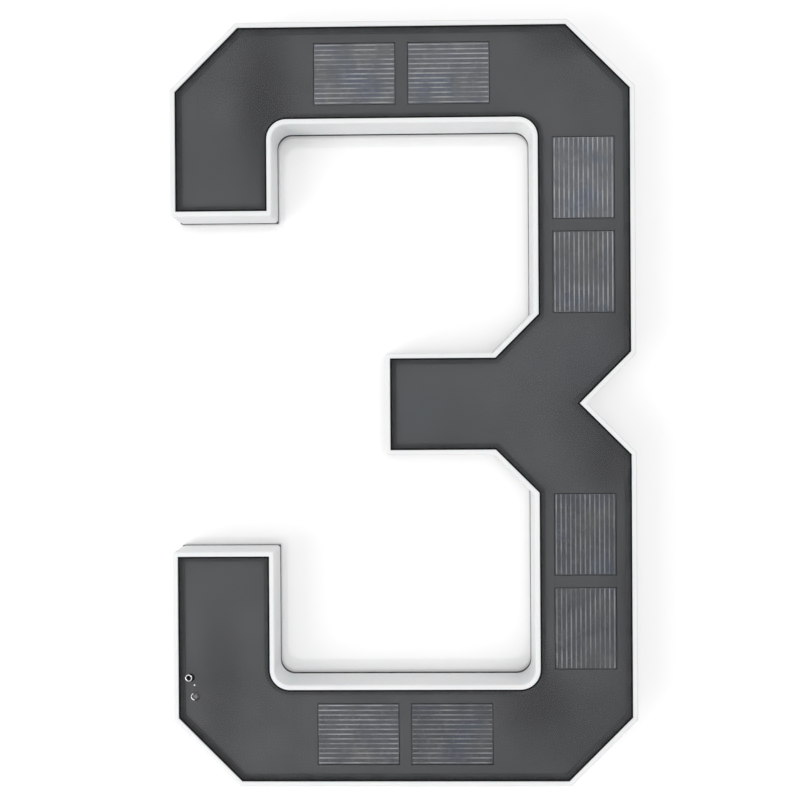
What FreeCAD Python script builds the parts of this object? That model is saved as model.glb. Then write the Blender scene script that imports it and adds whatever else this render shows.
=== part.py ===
import FreeCAD, Part
import math
import os

# Illuminated house number sign: a solar channel digit "3" that hangs on a wall.
# Millimetres. X runs to the right seen from the front, Z up, and the front faces -Y.
# The origin is the middle of the flat back, which lies against the wall at y = 0.
# Every solid is written where it sits in the assembled sign.

# --- The digit -----------------------------------------------------------------
SIGN_HEIGHT = 305.0
SIGN_WIDTH = 185.2
SIGN_DEPTH = 25.4
STROKE = 40.6               # width of every bar of the digit, over its walls
CORNER_CUT = 26.5           # leg of the four 45 degree outer corners
COUNTER_CUT = 16.1          # leg of the 45 degree corners where the middle bar meets the column
NOTCH_DEPTH = 19.6          # V notch in the right side
UPPER_ARM_LENGTH = 77.1     # left side, from the top of the sign down
LOWER_ARM_LENGTH = 94.0     # left side, from the bottom of the sign up
MIDDLE_BAR_LENGTH = 99.8    # from the right side to the free end
COUNTER_RADIUS = 6.0        # inner corners of the two counters
TIP_RADIUS = 1.2            # corners at the free ends of the bars
SHARP_BELOW = 0.65          # an inset corner with a smaller radius than this is left sharp

# --- Housing, lens and cover ----------------------------------------------------
WALL = 2.0                  # side wall, and the white rim round the face
RIM_BEVEL = 0.4
RIM_INNER_BEVEL = 0.2
LEDGE_WIDTH = 2.0
LEDGE_THICKNESS = 1.5
LENS_THICKNESS = 2.0
LENS_RECESS = 0.4
LENS_GAP = 0.12
LENS_BEVEL = 0.3
TAPE_THICKNESS = 0.3
TAPE_MARGIN = 0.2
COVER_THICKNESS = 2.4
COVER_INSET = 0.1
COVER_BEVEL = 0.4
GASKET_THICKNESS = 0.6
GASKET_INSET = 0.15
LIP_THICKNESS = 1.6
LIP_HEIGHT = 2.6
FIT_GAP = 0.25              # all round, where one moulding drops into another

# --- Cell carrier and solar cells ------------------------------------------------
CARRIER_THICKNESS = 2.6
CELL_LENGTH = 32.2
CELL_WIDTH = 24.3
CELL_SPACE = 5.4            # between the two cells of a pair
CELL_BASE = 0.6
CELL_WAFER = 0.25
WAFER_MARGIN = 0.6
CELL_SEAT = 0.1             # the wafer lies this far under the carrier's front
CELL_GAP = 0.3
COLUMN_CELLS = 71.2         # height of a column pair's middle above and below the middle
LEAD_SLOT_WIDTH = 1.4
LEAD_SLOT_LENGTH = 6.0

# --- Cover screws ----------------------------------------------------------------
POST_DIAMETER = 7.0
POST_CORE = 2.6             # across the flats
POST_CORE_DEPTH = 10.0
SCREW_SHANK = 2.5           # across the flats
SCREW_CLEARANCE = 3.0
SCREW_HEAD = 5.6
SCREW_LENGTH = 11.0         # of the whole countersunk screw
SCREW_SINK = 0.15           # the heads lie this far under the back
COUNTERSINK = 6.0
NECK_STEP = 0.06            # of a countersunk head's narrow end round its shank's corners
ARM_POST_SETBACK = 9.0      # from an arm's free end to its post
MIDDLE_POST = 34.0          # along the middle bar
COLUMN_POST = 71.2          # of the lower column's post below the middle
BAR_POST = 56.0             # from the middle of the top and bottom bars to their posts

# --- Keyholes --------------------------------------------------------------------
KEYHOLE_SPACING = 72.0
KEYHOLE_ENTRY = 9.0
KEYHOLE_SLOT = 4.5
KEYHOLE_TRAVEL = 8.0
POCKET_DEPTH = 5.0
POCKET_WALL = 1.2
POCKET_MARGIN = 1.4

# --- Battery bay -----------------------------------------------------------------
CELL_DIAMETER = 14.2
BATTERY_LENGTH = 50.4
CELL_BEVEL = 0.4
CELL_CLEARANCE = 0.4        # between the two cells
CELL_RISE = 1.0             # the cells stand this far into the bay's opening
CELL_FLOOR_GAP = 0.1
NUB_DIAMETER = 5.0
NUB_LENGTH = 1.1
BAY_FOOT = 33.35            # of the door's lower end above the sign's middle
HOLDER_WALL = 1.2
HOLDER_RIB = 1.0            # between the cells
HOLDER_RIB_HEIGHT = 2.0
CONTACT_ROOM = 3.5
CONTACT_THICKNESS = 0.4
CONTACT_WIDTH = 9.0
CONTACT_DROP = 1.1          # from the cover's pad to the top of the contacts
CONTACT_TOUCH = 0.05
DOOR_LAND = 1.5             # of the door beside the bay's opening
DOOR_END = 3.3              # from a door screw to the end of the door
DOOR_THICKNESS = 1.5
DOOR_SINK = 0.2
DOOR_GAP = 0.3
DOOR_RADIUS = 3.0
DOOR_BEVEL = 0.3
DOOR_SEAL = 0.5
SEAL_WIDTH = 0.9
SEAL_SETBACK = 0.2
BAY_PAD = 1.6               # the cover is this much thicker round the bay
BAY_END_ROOM = 3.0          # of the bay's opening past each end of the cells
DOOR_SCREW_BOSS = 6.4
DOOR_SCREW_BOSS_DEPTH = 4.0
BOSS_FLOOR = 1.0
SMALL_SHANK = 2.0           # across the flats
SMALL_CORE = 2.1            # across the flats
SMALL_HEAD = 3.8
SMALL_HEAD_HEIGHT = 1.2
SMALL_CLEARANCE = 2.4
SMALL_COUNTERSINK = 4.4
SMALL_CONE = 1.0            # height of the countersunk head
SMALL_SINK = 0.1
CORE_FLOOR = 0.4            # cover left over the holder's screws
HOLDER_TAB_SETBACK = 4.7    # of a tab's middle from the holder's side
HOLDER_TAB_WIDTH = 7.0
HOLDER_TAB_LENGTH = 5.6
HOLDER_TAB_THICKNESS = 1.6

# --- Control board ---------------------------------------------------------------
BOARD_WIDTH = 31.0
BOARD_LENGTH = 42.0
BOARD_THICKNESS = 1.6
BOARD_LEVEL = 10.4          # the board's rear face, from the back of the sign
BOARD_RISE = 55.5           # the board's middle above the foot of the sign
BOARD_HOLE = 2.2
STANDOFF_DIAMETER = 5.0
STANDOFF_CORE = 1.8         # across the flats
STANDOFF_CORE_DEPTH = 5.0
STANDOFF_SIDE = 3.4         # from the board's side edge
STANDOFF_END = 4.0          # from its upper edge
STANDOFF_FOOT = 11.0        # from its lower edge, above the connectors
BOARD_SCREW_SHANK = 1.7     # across the flats
BOARD_SCREW_LENGTH = 5.6
SENSOR_DIAMETER = 3.0
SENSOR_FLANGE = 3.8
SENSOR_COLLAR = 0.8
SENSOR_BEVEL = 0.75
SENSOR_SETBACK = 0.3        # of the tip behind the carrier's front
SENSOR_HOLE = 3.3
SENSOR_LEAD = 0.5
SENSOR_LEAD_PITCH = 2.0
SENSOR_X = -13.9            # from the middle of the left arm
SENSOR_Z = -12.4            # from the board's middle
STATUS_X = -12.0
STATUS_Z = -20.0
CONNECTOR_WIDTH = 6.0
CONNECTOR_LENGTH = 6.0
CONNECTOR_HEIGHT = 5.0
CONNECTOR_SETBACK = 0.5     # from the board's lower edge
BATTERY_CONNECTOR_X = 12.4  # from the board's middle
LAMP_CONNECTOR_X = 5.9
CELL_CONNECTOR_X = -6.7
INDUCTOR_DIAMETER = 6.0
INDUCTOR_HEIGHT = 4.2
CAPACITOR_DIAMETER = 5.0
CAPACITOR_HEIGHT = 5.2

# --- Power button ----------------------------------------------------------------
BUTTON_DIAMETER = 9.0
BUTTON_GAP = 0.3
BUTTON_FLANGE = 12.6
BUTTON_FLANGE_THICKNESS = 1.2
BUTTON_STEM = 4.0
BUTTON_TRAVEL = 1.2
BUTTON_BEVEL = 0.5
BUTTON_RISE = 9.0           # above the board's middle
DISH_DIAMETER = 15.0
DISH_DEPTH = 0.6
SWITCH_SIZE = 8.0
SWITCH_HEIGHT = 3.5
PLUNGER_DIAMETER = 3.0
PLUNGER_GAP = 0.2
PLUNGER_BURIED = 1.1
STEM_CLEARANCE = 0.6        # of the pressed stem above the switch
SWITCH_FLOOR_GAP = 0.4      # under the pressed plunger
BUTTON_SETBACK = 0.1        # of the cap's top above the dish's floor

# --- Vent, lamps and wires -------------------------------------------------------
VENT_RISE = 20.0            # above the upper arm's post
VENT_CAP = 9.0
VENT_CAP_THICKNESS = 1.0
VENT_STEM = 5.0
VENT_STEM_LENGTH = 3.2
VENT_SINK = 0.2
VENT_BORE = 1.2
STRIP_WIDTH = 5.0
STRIP_THICKNESS = 0.4
STRIP_OFFSET = 9.0          # strips lie this far beside the middle line of a bar
STRIP_FOOT = 35.0           # of the column's strips above and below the middle
LED_LENGTH = 3.5
LED_WIDTH = 2.8
LED_HEIGHT = 0.8
LED_PITCH = 16.6
TERMINAL_LENGTH = 6.0
TERMINAL_WIDTH = 5.6
CELL_LEAD_DROP = 13.5       # from the cells' connector down to their terminal
LEAD_WIDTH = 2.8            # flat two-core leads
LEAD_THICKNESS = 1.4
LEAD_BEND = 6.0
LEAD_TO_POST = 2.5          # from the bottom bar's posts to the middle of the battery lead
LEAD_TO_COLUMN = 10.3       # from the column's middle

# --- Levels worked out from the sizes above, all as y ------------------------------
FRONT = -SIGN_DEPTH
LENS_FRONT = FRONT + LENS_RECESS
LENS_BACK = LENS_FRONT + LENS_THICKNESS
LEDGE_FRONT = LENS_BACK + TAPE_THICKNESS
LEDGE_BACK = LEDGE_FRONT + LEDGE_THICKNESS
CARRIER_BACK = LEDGE_FRONT + CARRIER_THICKNESS
COVER_FRONT = -COVER_THICKNESS
SHELL_BACK = COVER_FRONT - GASKET_THICKNESS
BAY_PAD_FRONT = COVER_FRONT - BAY_PAD
BOARD_BACK = -BOARD_LEVEL
BOARD_FRONT = BOARD_BACK - BOARD_THICKNESS
STRIP_BACK = CARRIER_BACK + STRIP_THICKNESS
THROUGH = 1.0               # how far a cut runs past a face

# --- Places worked out from the sizes above ----------------------------------------
HALF_WIDTH = SIGN_WIDTH / 2
HALF_HEIGHT = SIGN_HEIGHT / 2
BAR_Z = HALF_HEIGHT - STROKE / 2
COLUMN_X = HALF_WIDTH - STROKE / 2
UPPER_ARM_END = HALF_HEIGHT - UPPER_ARM_LENGTH
LOWER_ARM_END = LOWER_ARM_LENGTH - HALF_HEIGHT
MIDDLE_BAR_END = HALF_WIDTH - MIDDLE_BAR_LENGTH
BOARD_X = -COLUMN_X
BOARD_Z = BOARD_RISE - HALF_HEIGHT
BUTTON_Z = BOARD_Z + BUTTON_RISE
CELL_PITCH = CELL_LENGTH + CELL_SPACE
BATTERY_SPACING = CELL_DIAMETER + CELL_CLEARANCE
BAY_OPENING_WIDTH = BATTERY_SPACING + CELL_DIAMETER + FIT_GAP
BAY_OPENING_LENGTH = BATTERY_LENGTH + 2 * BAY_END_ROOM
HOLDER_WIDTH = BAY_OPENING_WIDTH + 2 * HOLDER_WALL
HOLDER_LENGTH = BATTERY_LENGTH + 2 * (CONTACT_ROOM + HOLDER_WALL)
CELL_AXIS_Y = BAY_PAD_FRONT + CELL_RISE - CELL_DIAMETER / 2
HOLDER_FLOOR = CELL_AXIS_Y - CELL_DIAMETER / 2 - CELL_FLOOR_GAP
DOOR_SCREW_REACH = HOLDER_LENGTH / 2 + DOOR_SCREW_BOSS / 2 + FIT_GAP
DOOR_WIDTH = BAY_OPENING_WIDTH + 2 * DOOR_LAND
DOOR_LENGTH = 2 * (DOOR_SCREW_REACH + DOOR_END)
BATTERY_HEIGHT = BAY_FOOT + DOOR_LENGTH / 2
DOOR_FRONT = -DOOR_SINK - DOOR_THICKNESS
DOOR_SEAT = DOOR_FRONT - DOOR_SEAL


# --- Outline ---------------------------------------------------------------------

def digit_corners():
    """The outer corners of the digit, clockwise seen from the front, as (x, z, radius)."""
    left, right, top = -HALF_WIDTH, HALF_WIDTH, HALF_HEIGHT
    arm_side, column_side, counter_top = left + STROKE, right - STROKE, top - STROKE
    bar_side = STROKE / 2
    upper = [
        (left + CORNER_CUT, top, 0.0),
        (right - CORNER_CUT, top, 0.0),
        (right, top - CORNER_CUT, 0.0),
        (right, NOTCH_DEPTH, 0.0),
        (right - NOTCH_DEPTH, 0.0, 0.0),
    ]
    lower = [
        (right, -NOTCH_DEPTH, 0.0),
        (right, CORNER_CUT - top, 0.0),
        (right - CORNER_CUT, -top, 0.0),
        (left + CORNER_CUT, -top, 0.0),
        (left, CORNER_CUT - top, 0.0),
        (left, LOWER_ARM_END, TIP_RADIUS),
        (arm_side, LOWER_ARM_END, TIP_RADIUS),
        (arm_side, -counter_top, COUNTER_RADIUS),
        (column_side, -counter_top, COUNTER_RADIUS),
        (column_side, -bar_side - COUNTER_CUT, 0.0),
        (column_side - COUNTER_CUT, -bar_side, 0.0),
        (MIDDLE_BAR_END, -bar_side, TIP_RADIUS),
    ]
    inner = [
        (MIDDLE_BAR_END, bar_side, TIP_RADIUS),
        (column_side - COUNTER_CUT, bar_side, 0.0),
        (column_side, bar_side + COUNTER_CUT, 0.0),
        (column_side, counter_top, COUNTER_RADIUS),
        (arm_side, counter_top, COUNTER_RADIUS),
        (arm_side, UPPER_ARM_END, TIP_RADIUS),
        (left, UPPER_ARM_END, TIP_RADIUS),
        (left, top - CORNER_CUT, 0.0),
    ]
    return upper + lower + inner


def unit(start, end):
    """The direction from one (x, z, ...) corner to the next, as (x, z)."""
    run, rise = end[0] - start[0], end[1] - start[1]
    length = math.hypot(run, rise)
    return run / length, rise / length


def inset_corners(corners, inset):
    """The same outline with every side moved inward, and each corner's radius following."""
    moved = []
    count = len(corners)
    for index, (x, z, radius) in enumerate(corners):
        before = unit(corners[index - 1], corners[index])
        after = unit(corners[index], corners[(index + 1) % count])
        shift = inset / (1 + before[0] * after[0] + before[1] * after[1])
        turns_inward = before[0] * after[1] - before[1] * after[0] < 0
        if radius:
            radius = radius - inset if turns_inward else radius + inset
            radius = radius if radius >= SHARP_BELOW else 0.0
        moved.append((x + shift * (before[1] + after[1]), z - shift * (before[0] + after[0]), radius))
    return moved


def rounded_wire(corners, y):
    """A closed wire at level y through the corners, with an arc at each that has a radius."""
    count = len(corners)
    edges = []
    ends = []
    for index, (x, z, radius) in enumerate(corners):
        before = unit(corners[index - 1], corners[index])
        after = unit(corners[index], corners[(index + 1) % count])
        corner = FreeCAD.Vector(x, y, z)
        if not radius:
            ends.append((corner, None, corner))
            continue
        turn = math.acos(before[0] * after[0] + before[1] * after[1])
        tangent = radius * math.tan(turn / 2)
        start = FreeCAD.Vector(x - before[0] * tangent, y, z - before[1] * tangent)
        end = FreeCAD.Vector(x + after[0] * tangent, y, z + after[1] * tangent)
        toward = (start + end) * 0.5 - corner
        reach = math.hypot(radius, tangent) - radius
        ends.append((start, corner + toward * (reach / toward.Length), end))
    for index, (start, middle, end) in enumerate(ends):
        if middle is not None:
            edges.append(Part.Arc(start, middle, end).toShape())
        edges.append(Part.LineSegment(end, ends[(index + 1) % count][0]).toShape())
    return Part.Wire(edges)


def solid_between(corners, y_from, y_to):
    """The outline drawn at y_from and pushed through to y_to."""
    face = Part.Face(rounded_wire(corners, y_from))
    return face.extrude(FreeCAD.Vector(0, y_to - y_from, 0))


def digit(inset, y_from, y_to):
    """A slab of the digit's shape, its sides moved inward by inset."""
    return solid_between(inset_corners(digit_corners(), inset), y_from, y_to)


# --- Small shapes ----------------------------------------------------------------

def block(x, z, width, length, y_from, y_to, radius=0.0):
    """A slab centred on (x, z), width along X and length along Z, with rounded corners."""
    w, l = width / 2, length / 2
    corners = [(x - w, z + l, radius), (x + w, z + l, radius), (x + w, z - l, radius), (x - w, z - l, radius)]
    return solid_between(corners, y_from, y_to)


def rod(x, z, diameter, y_from, y_to):
    """A cylinder along Y."""
    low, high = min(y_from, y_to), max(y_from, y_to)
    return Part.makeCylinder(diameter / 2, high - low, FreeCAD.Vector(x, low, z), FreeCAD.Vector(0, 1, 0))


def cone(x, z, diameter_from, diameter_to, y_from, y_to):
    """A cone along +Y or -Y between two levels."""
    way = 1 if y_to > y_from else -1
    base = FreeCAD.Vector(x, y_from, z)
    return Part.makeCone(diameter_from / 2, diameter_to / 2, abs(y_to - y_from), base, FreeCAD.Vector(0, way, 0))


def edges_at(shape, y):
    """The edges that lie in the plane at level y."""
    return [edge for edge in shape.Edges if all(abs(point.Y - y) < 1e-6 for point in edge.Vertexes)]


def bevel_edges(shape, y, size, wanted=None):
    """Bevel the edges at level y, or those of them that the test picks."""
    edges = [edge for edge in edges_at(shape, y) if wanted is None or wanted(edge)]
    return shape.makeChamfer(size, edges)


def faceted(x, z, across, y_from, y_to):
    """An eight-sided rod along Y, for a screw's shank or the core that it cuts its thread in."""
    reach = across / 2 / math.cos(math.pi / 8)
    turns = [math.pi / 8 * (2 * side + 1) for side in range(8)]
    corners = [(x + reach * math.cos(turn), z - reach * math.sin(turn), 0.0) for turn in turns]
    return solid_between(corners, y_from, y_to)


def flat_lead(route, level):
    """A flat two-core lead along the (x, z) route, its middle plane at the level."""
    sides = {1: [], -1: []}
    for index, (x, z) in enumerate(route):
        last = index == len(route) - 1
        after = unit(route[index - 1], route[index]) if last else unit(route[index], route[index + 1])
        before = after if index == 0 else unit(route[index - 1], route[index])
        turn = before[0] * after[1] - before[1] * after[0]
        reach = LEAD_WIDTH / 2 / (1 + before[0] * after[0] + before[1] * after[1])
        for side, corners in sides.items():
            radius = LEAD_BEND - math.copysign(LEAD_WIDTH / 2, turn * side) if abs(turn) > 1e-6 else 0.0
            shift = side * reach
            corners.append((x - shift * (before[1] + after[1]), z + shift * (before[0] + after[0]), radius))
    corners = sides[1] + sides[-1][::-1]
    return solid_between(corners, level + LEAD_THICKNESS / 2, level - LEAD_THICKNESS / 2)


# --- Places ----------------------------------------------------------------------

def post_places():
    """Where the cover's screws stand, as (x, z)."""
    places = [(side * BAR_POST, end * BAR_Z) for side in (-1, 1) for end in (-1, 1)]
    places.append((-COLUMN_X, UPPER_ARM_END + ARM_POST_SETBACK))
    places.append((-COLUMN_X, LOWER_ARM_END - ARM_POST_SETBACK))
    places.append((MIDDLE_POST, 0.0))
    places.append((COLUMN_X, -COLUMN_POST))
    return places


def keyhole_places():
    """Middle of each keyhole's entry, as (x, z); its slot runs up from there."""
    entry_z = -KEYHOLE_TRAVEL / 2
    return [(side * KEYHOLE_SPACING / 2, end * BAR_Z + entry_z) for side in (-1, 1) for end in (-1, 1)]


def cell_places():
    """Node name, middle and whether it stands upright, for each solar cell."""
    half = CELL_PITCH / 2
    return [
        ("solar_cell_top_left", -half, BAR_Z, False),
        ("solar_cell_top_right", half, BAR_Z, False),
        ("solar_cell_upper_outer", COLUMN_X, COLUMN_CELLS + half, True),
        ("solar_cell_upper_inner", COLUMN_X, COLUMN_CELLS - half, True),
        ("solar_cell_lower_inner", COLUMN_X, half - COLUMN_CELLS, True),
        ("solar_cell_lower_outer", COLUMN_X, -half - COLUMN_CELLS, True),
        ("solar_cell_bottom_left", -half, -BAR_Z, False),
        ("solar_cell_bottom_right", half, -BAR_Z, False),
    ]


def strip_places():
    """Node name, middle, length and whether it stands upright, for each LED strip."""
    bar_length = 2 * (COLUMN_X - POST_DIAMETER * 2)
    column_foot, column_top = STRIP_FOOT, BAR_Z - 2 * POST_DIAMETER
    column_length = column_top - column_foot
    column_middle = (column_top + column_foot) / 2
    arm_foot = UPPER_ARM_END + ARM_POST_SETBACK
    middle_length = COLUMN_X - STROKE / 2 - MIDDLE_BAR_END - 2 * WALL - STRIP_WIDTH
    middle_x = MIDDLE_BAR_END + WALL + STRIP_WIDTH + middle_length / 2
    bottom_left = terminal_places()[0][0] + TERMINAL_LENGTH / 2
    bottom_right = bar_length / 2
    return [
        ("led_strip_top", 0.0, BAR_Z + STRIP_OFFSET, bar_length, False),
        ("led_strip_upper_arm", -COLUMN_X - STRIP_OFFSET, (arm_foot + column_top) / 2, column_top - arm_foot, True),
        ("led_strip_upper_right", COLUMN_X + STRIP_OFFSET, column_middle, column_length, True),
        ("led_strip_middle", middle_x, STRIP_OFFSET, middle_length, False),
        ("led_strip_lower_right", COLUMN_X + STRIP_OFFSET, -column_middle, column_length, True),
        ("led_strip_lower_arm", -COLUMN_X, BOARD_Z, BOARD_LENGTH - 4.0, True),
        ("led_strip_bottom", (bottom_left + bottom_right) / 2, -BAR_Z - STRIP_OFFSET,
         bottom_right - bottom_left, False),
    ]


def standoff_places():
    """Where the control board is screwed down, as (x, z)."""
    side = BOARD_WIDTH / 2 - STANDOFF_SIDE
    upper, lower = BOARD_Z + BOARD_LENGTH / 2 - STANDOFF_END, BOARD_Z - BOARD_LENGTH / 2 + STANDOFF_FOOT
    return [(BOARD_X - side, upper), (BOARD_X + side, upper), (BOARD_X + side, lower)]


def connector_places():
    """Middle of each wire connector on the board's lower edge: battery, lamps and cells."""
    row = BOARD_Z - BOARD_LENGTH / 2 + CONNECTOR_LENGTH / 2 + CONNECTOR_SETBACK
    return [(BOARD_X + x, row) for x in (BATTERY_CONNECTOR_X, LAMP_CONNECTOR_X, CELL_CONNECTOR_X)]


def terminal_places():
    """Middle of the two terminal blocks on the carrier, each below its connector: lamps, then cells."""
    _, (lamp_x, _), (cell_x, cell_z) = connector_places()
    return (lamp_x, -BAR_Z - STRIP_OFFSET), (cell_x, cell_z - CELL_LEAD_DROP)


# --- Pieces ----------------------------------------------------------------------

def housing():
    """The white shell: side walls, the rim round the face and the ledge that carries the lens."""
    shell = digit(0, SHELL_BACK, FRONT)
    shell = shell.cut(digit(WALL, SHELL_BACK + THROUGH, LEDGE_BACK))
    shell = shell.cut(digit(WALL + LEDGE_WIDTH, LEDGE_BACK + THROUGH, LEDGE_FRONT - THROUGH))
    shell = shell.cut(digit(WALL, LEDGE_FRONT, FRONT - THROUGH))
    middle = Part.Face(rounded_wire(inset_corners(digit_corners(), WALL / 2), FRONT))
    shell = bevel_edges(shell, FRONT, RIM_BEVEL, lambda edge: not middle.isInside(edge.CenterOfMass, 1e-6, True))
    return bevel_edges(shell, FRONT, RIM_INNER_BEVEL, lambda edge: middle.isInside(edge.CenterOfMass, 1e-6, True))


def face_lens():
    """The smoked face, let into the rim with a bevelled edge."""
    lens = digit(WALL + LENS_GAP, LENS_BACK, LENS_FRONT)
    return bevel_edges(lens, LENS_FRONT, LENS_BEVEL)


def lens_tape():
    """The frame of foam tape between the ledge and the lens."""
    tape = digit(WALL + TAPE_MARGIN, LEDGE_FRONT, LENS_BACK)
    return tape.cut(digit(WALL + LEDGE_WIDTH - TAPE_MARGIN, LEDGE_FRONT + THROUGH, LENS_BACK - THROUGH))


def cell_carrier():
    """The black plate behind the lens: pockets for the cells, and posts on its back."""
    carrier = digit(WALL + LEDGE_WIDTH + FIT_GAP, LEDGE_FRONT, CARRIER_BACK)
    carrier = carrier.fuse(digit(WALL + FIT_GAP, LEDGE_BACK, CARRIER_BACK))
    pocket_floor = LEDGE_FRONT + CELL_SEAT + CELL_WAFER + CELL_BASE
    for _, x, z, upright in cell_places():
        length, width = CELL_LENGTH + 2 * CELL_GAP, CELL_WIDTH + 2 * CELL_GAP
        size = (width, length) if upright else (length, width)
        carrier = carrier.cut(block(x, z, *size, pocket_floor, LEDGE_FRONT - THROUGH))
        carrier = carrier.cut(block(x, z, LEAD_SLOT_LENGTH, LEAD_SLOT_WIDTH, CARRIER_BACK + THROUGH, LEDGE_FRONT))
    for x, z in post_places():
        carrier = carrier.fuse(rod(x, z, POST_DIAMETER, CARRIER_BACK, COVER_FRONT))
        carrier = carrier.cut(faceted(x, z, POST_CORE, COVER_FRONT + THROUGH, COVER_FRONT - POST_CORE_DEPTH))
    for x, z in standoff_places():
        carrier = carrier.fuse(rod(x, z, STANDOFF_DIAMETER, CARRIER_BACK, BOARD_FRONT))
        carrier = carrier.cut(faceted(x, z, STANDOFF_CORE, BOARD_FRONT + THROUGH, BOARD_FRONT - STANDOFF_CORE_DEPTH))
    for x, z in (sensor_place(), status_place()):
        carrier = carrier.cut(rod(x, z, SENSOR_HOLE, CARRIER_BACK + THROUGH, LEDGE_FRONT - THROUGH))
    return carrier.removeSplitter()


def solar_cell(x, z, upright):
    """A small laminated cell: its base, and the wafer set in from the edge."""
    size = (CELL_WIDTH, CELL_LENGTH) if upright else (CELL_LENGTH, CELL_WIDTH)
    wafer_front = LEDGE_FRONT + CELL_SEAT
    base_front = wafer_front + CELL_WAFER
    base = block(x, z, *size, base_front + CELL_BASE, base_front)
    wafer = block(x, z, size[0] - 2 * WAFER_MARGIN, size[1] - 2 * WAFER_MARGIN, base_front, wafer_front)
    return base.fuse(wafer)


def sensor_place():
    """The light sensor, at the outer side of the lower left arm."""
    return BOARD_X + SENSOR_X, BOARD_Z + SENSOR_Z


def status_place():
    """The status lamp, below the sensor."""
    return BOARD_X + STATUS_X, BOARD_Z + STATUS_Z


def small_lamp(x, z):
    """A 3 mm round body with its collar, on two legs that stand on the control board."""
    tip = LEDGE_FRONT + SENSOR_SETBACK
    collar_back = CARRIER_BACK + SENSOR_COLLAR
    body = rod(x, z, SENSOR_DIAMETER, tip, CARRIER_BACK)
    body = bevel_edges(body, tip, SENSOR_BEVEL)
    body = body.fuse(rod(x, z, SENSOR_FLANGE, CARRIER_BACK, collar_back))
    for end in (-1, 1):
        leg_z = z + end * SENSOR_LEAD_PITCH / 2
        body = body.fuse(block(x, leg_z, SENSOR_LEAD, SENSOR_LEAD, collar_back, BOARD_FRONT))
    return body


def countersunk_hole(x, z, wide, narrow, rear, front):
    """A screw hole from rear to front, opened at the rear by a 90 degree countersink."""
    depth = (wide - narrow) / 2
    hole = rod(x, z, narrow, rear, front - THROUGH)
    return hole.fuse(cone(x, z, wide + 2 * THROUGH, narrow, rear + THROUGH, rear - depth))


def back_cover():
    """The dark back: lip, countersinks, closed keyhole pockets and the battery bay's frame."""
    cover = digit(COVER_INSET, 0, COVER_FRONT)
    cover = bevel_edges(cover, 0, COVER_BEVEL)
    lip = digit(WALL + FIT_GAP, COVER_FRONT, COVER_FRONT - LIP_HEIGHT)
    lip = lip.cut(digit(WALL + FIT_GAP + LIP_THICKNESS, COVER_FRONT + THROUGH, COVER_FRONT - LIP_HEIGHT - THROUGH))
    cover = cover.fuse(lip)
    for x, z in post_places():
        cover = cover.cut(countersunk_hole(x, z, COUNTERSINK, SCREW_CLEARANCE, 0, COVER_FRONT))
    cover = keyholes(cover)
    cover = battery_frame(cover)
    cover = cover.cut(rod(BOARD_X, BUTTON_Z, BUTTON_DIAMETER + 2 * BUTTON_GAP, THROUGH, COVER_FRONT - THROUGH))
    dish = cone(BOARD_X, BUTTON_Z, DISH_DIAMETER, DISH_DIAMETER - 2 * DISH_DEPTH, 0, -DISH_DEPTH)
    cover = cover.cut(dish)
    vent_x, vent_z = vent_place()
    cover = cover.cut(rod(vent_x, vent_z, VENT_STEM + FIT_GAP, THROUGH, COVER_FRONT - THROUGH))
    cover = cover.cut(rod(vent_x, vent_z, VENT_CAP + FIT_GAP, THROUGH, -VENT_SINK - VENT_CAP_THICKNESS))
    return cover.removeSplitter()


def keyholes(cover):
    """Add the closed pockets inside the cover and cut the four keyholes into them."""
    width = KEYHOLE_ENTRY + 2 * POCKET_MARGIN
    height = KEYHOLE_ENTRY / 2 + KEYHOLE_TRAVEL + KEYHOLE_ENTRY / 2 + 2 * POCKET_MARGIN
    for x, z in keyhole_places():
        middle = z + KEYHOLE_TRAVEL / 2
        deep = COVER_FRONT - POCKET_DEPTH
        outer = block(x, middle, width + 2 * POCKET_WALL, height + 2 * POCKET_WALL, COVER_FRONT, deep - POCKET_WALL)
        cover = cover.fuse(bevel_edges(outer, deep - POCKET_WALL, POCKET_WALL))
        cover = cover.cut(block(x, middle, width, height, COVER_FRONT, deep))
        cover = cover.cut(rod(x, z, KEYHOLE_ENTRY, THROUGH, COVER_FRONT - THROUGH))
        slot = block(x, z + KEYHOLE_TRAVEL / 2, KEYHOLE_SLOT, KEYHOLE_TRAVEL, THROUGH, COVER_FRONT - THROUGH)
        slot = slot.fuse(rod(x, z + KEYHOLE_TRAVEL, KEYHOLE_SLOT, THROUGH, COVER_FRONT - THROUGH))
        cover = cover.cut(slot)
    return cover


def battery_frame(cover):
    """Thicken the cover round the battery bay, open it, and sink the door's seat into it."""
    pad_width = DOOR_WIDTH + 2 * DOOR_GAP
    pad_length = DOOR_LENGTH + 2 * DOOR_GAP
    cover = cover.fuse(block(COLUMN_X, BATTERY_HEIGHT, pad_width, pad_length, COVER_FRONT, BAY_PAD_FRONT))
    for x, z in door_screw_places():
        deep = BAY_PAD_FRONT - DOOR_SCREW_BOSS_DEPTH
        cover = cover.fuse(rod(x, z, DOOR_SCREW_BOSS, BAY_PAD_FRONT, deep))
        cover = cover.cut(faceted(x, z, SMALL_CORE, THROUGH, deep + BOSS_FLOOR))
    recess = block(COLUMN_X, BATTERY_HEIGHT, pad_width, pad_length, THROUGH, DOOR_SEAT, DOOR_RADIUS + DOOR_GAP)
    opening = block(COLUMN_X, BATTERY_HEIGHT, BAY_OPENING_WIDTH, BAY_OPENING_LENGTH, THROUGH, BAY_PAD_FRONT - THROUGH)
    cover = cover.cut(recess).cut(opening)
    for x, z in holder_screw_places():
        cover = cover.cut(faceted(x, z, SMALL_CORE, BAY_PAD_FRONT - THROUGH, DOOR_SEAT - CORE_FLOOR))
    return cover


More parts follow.
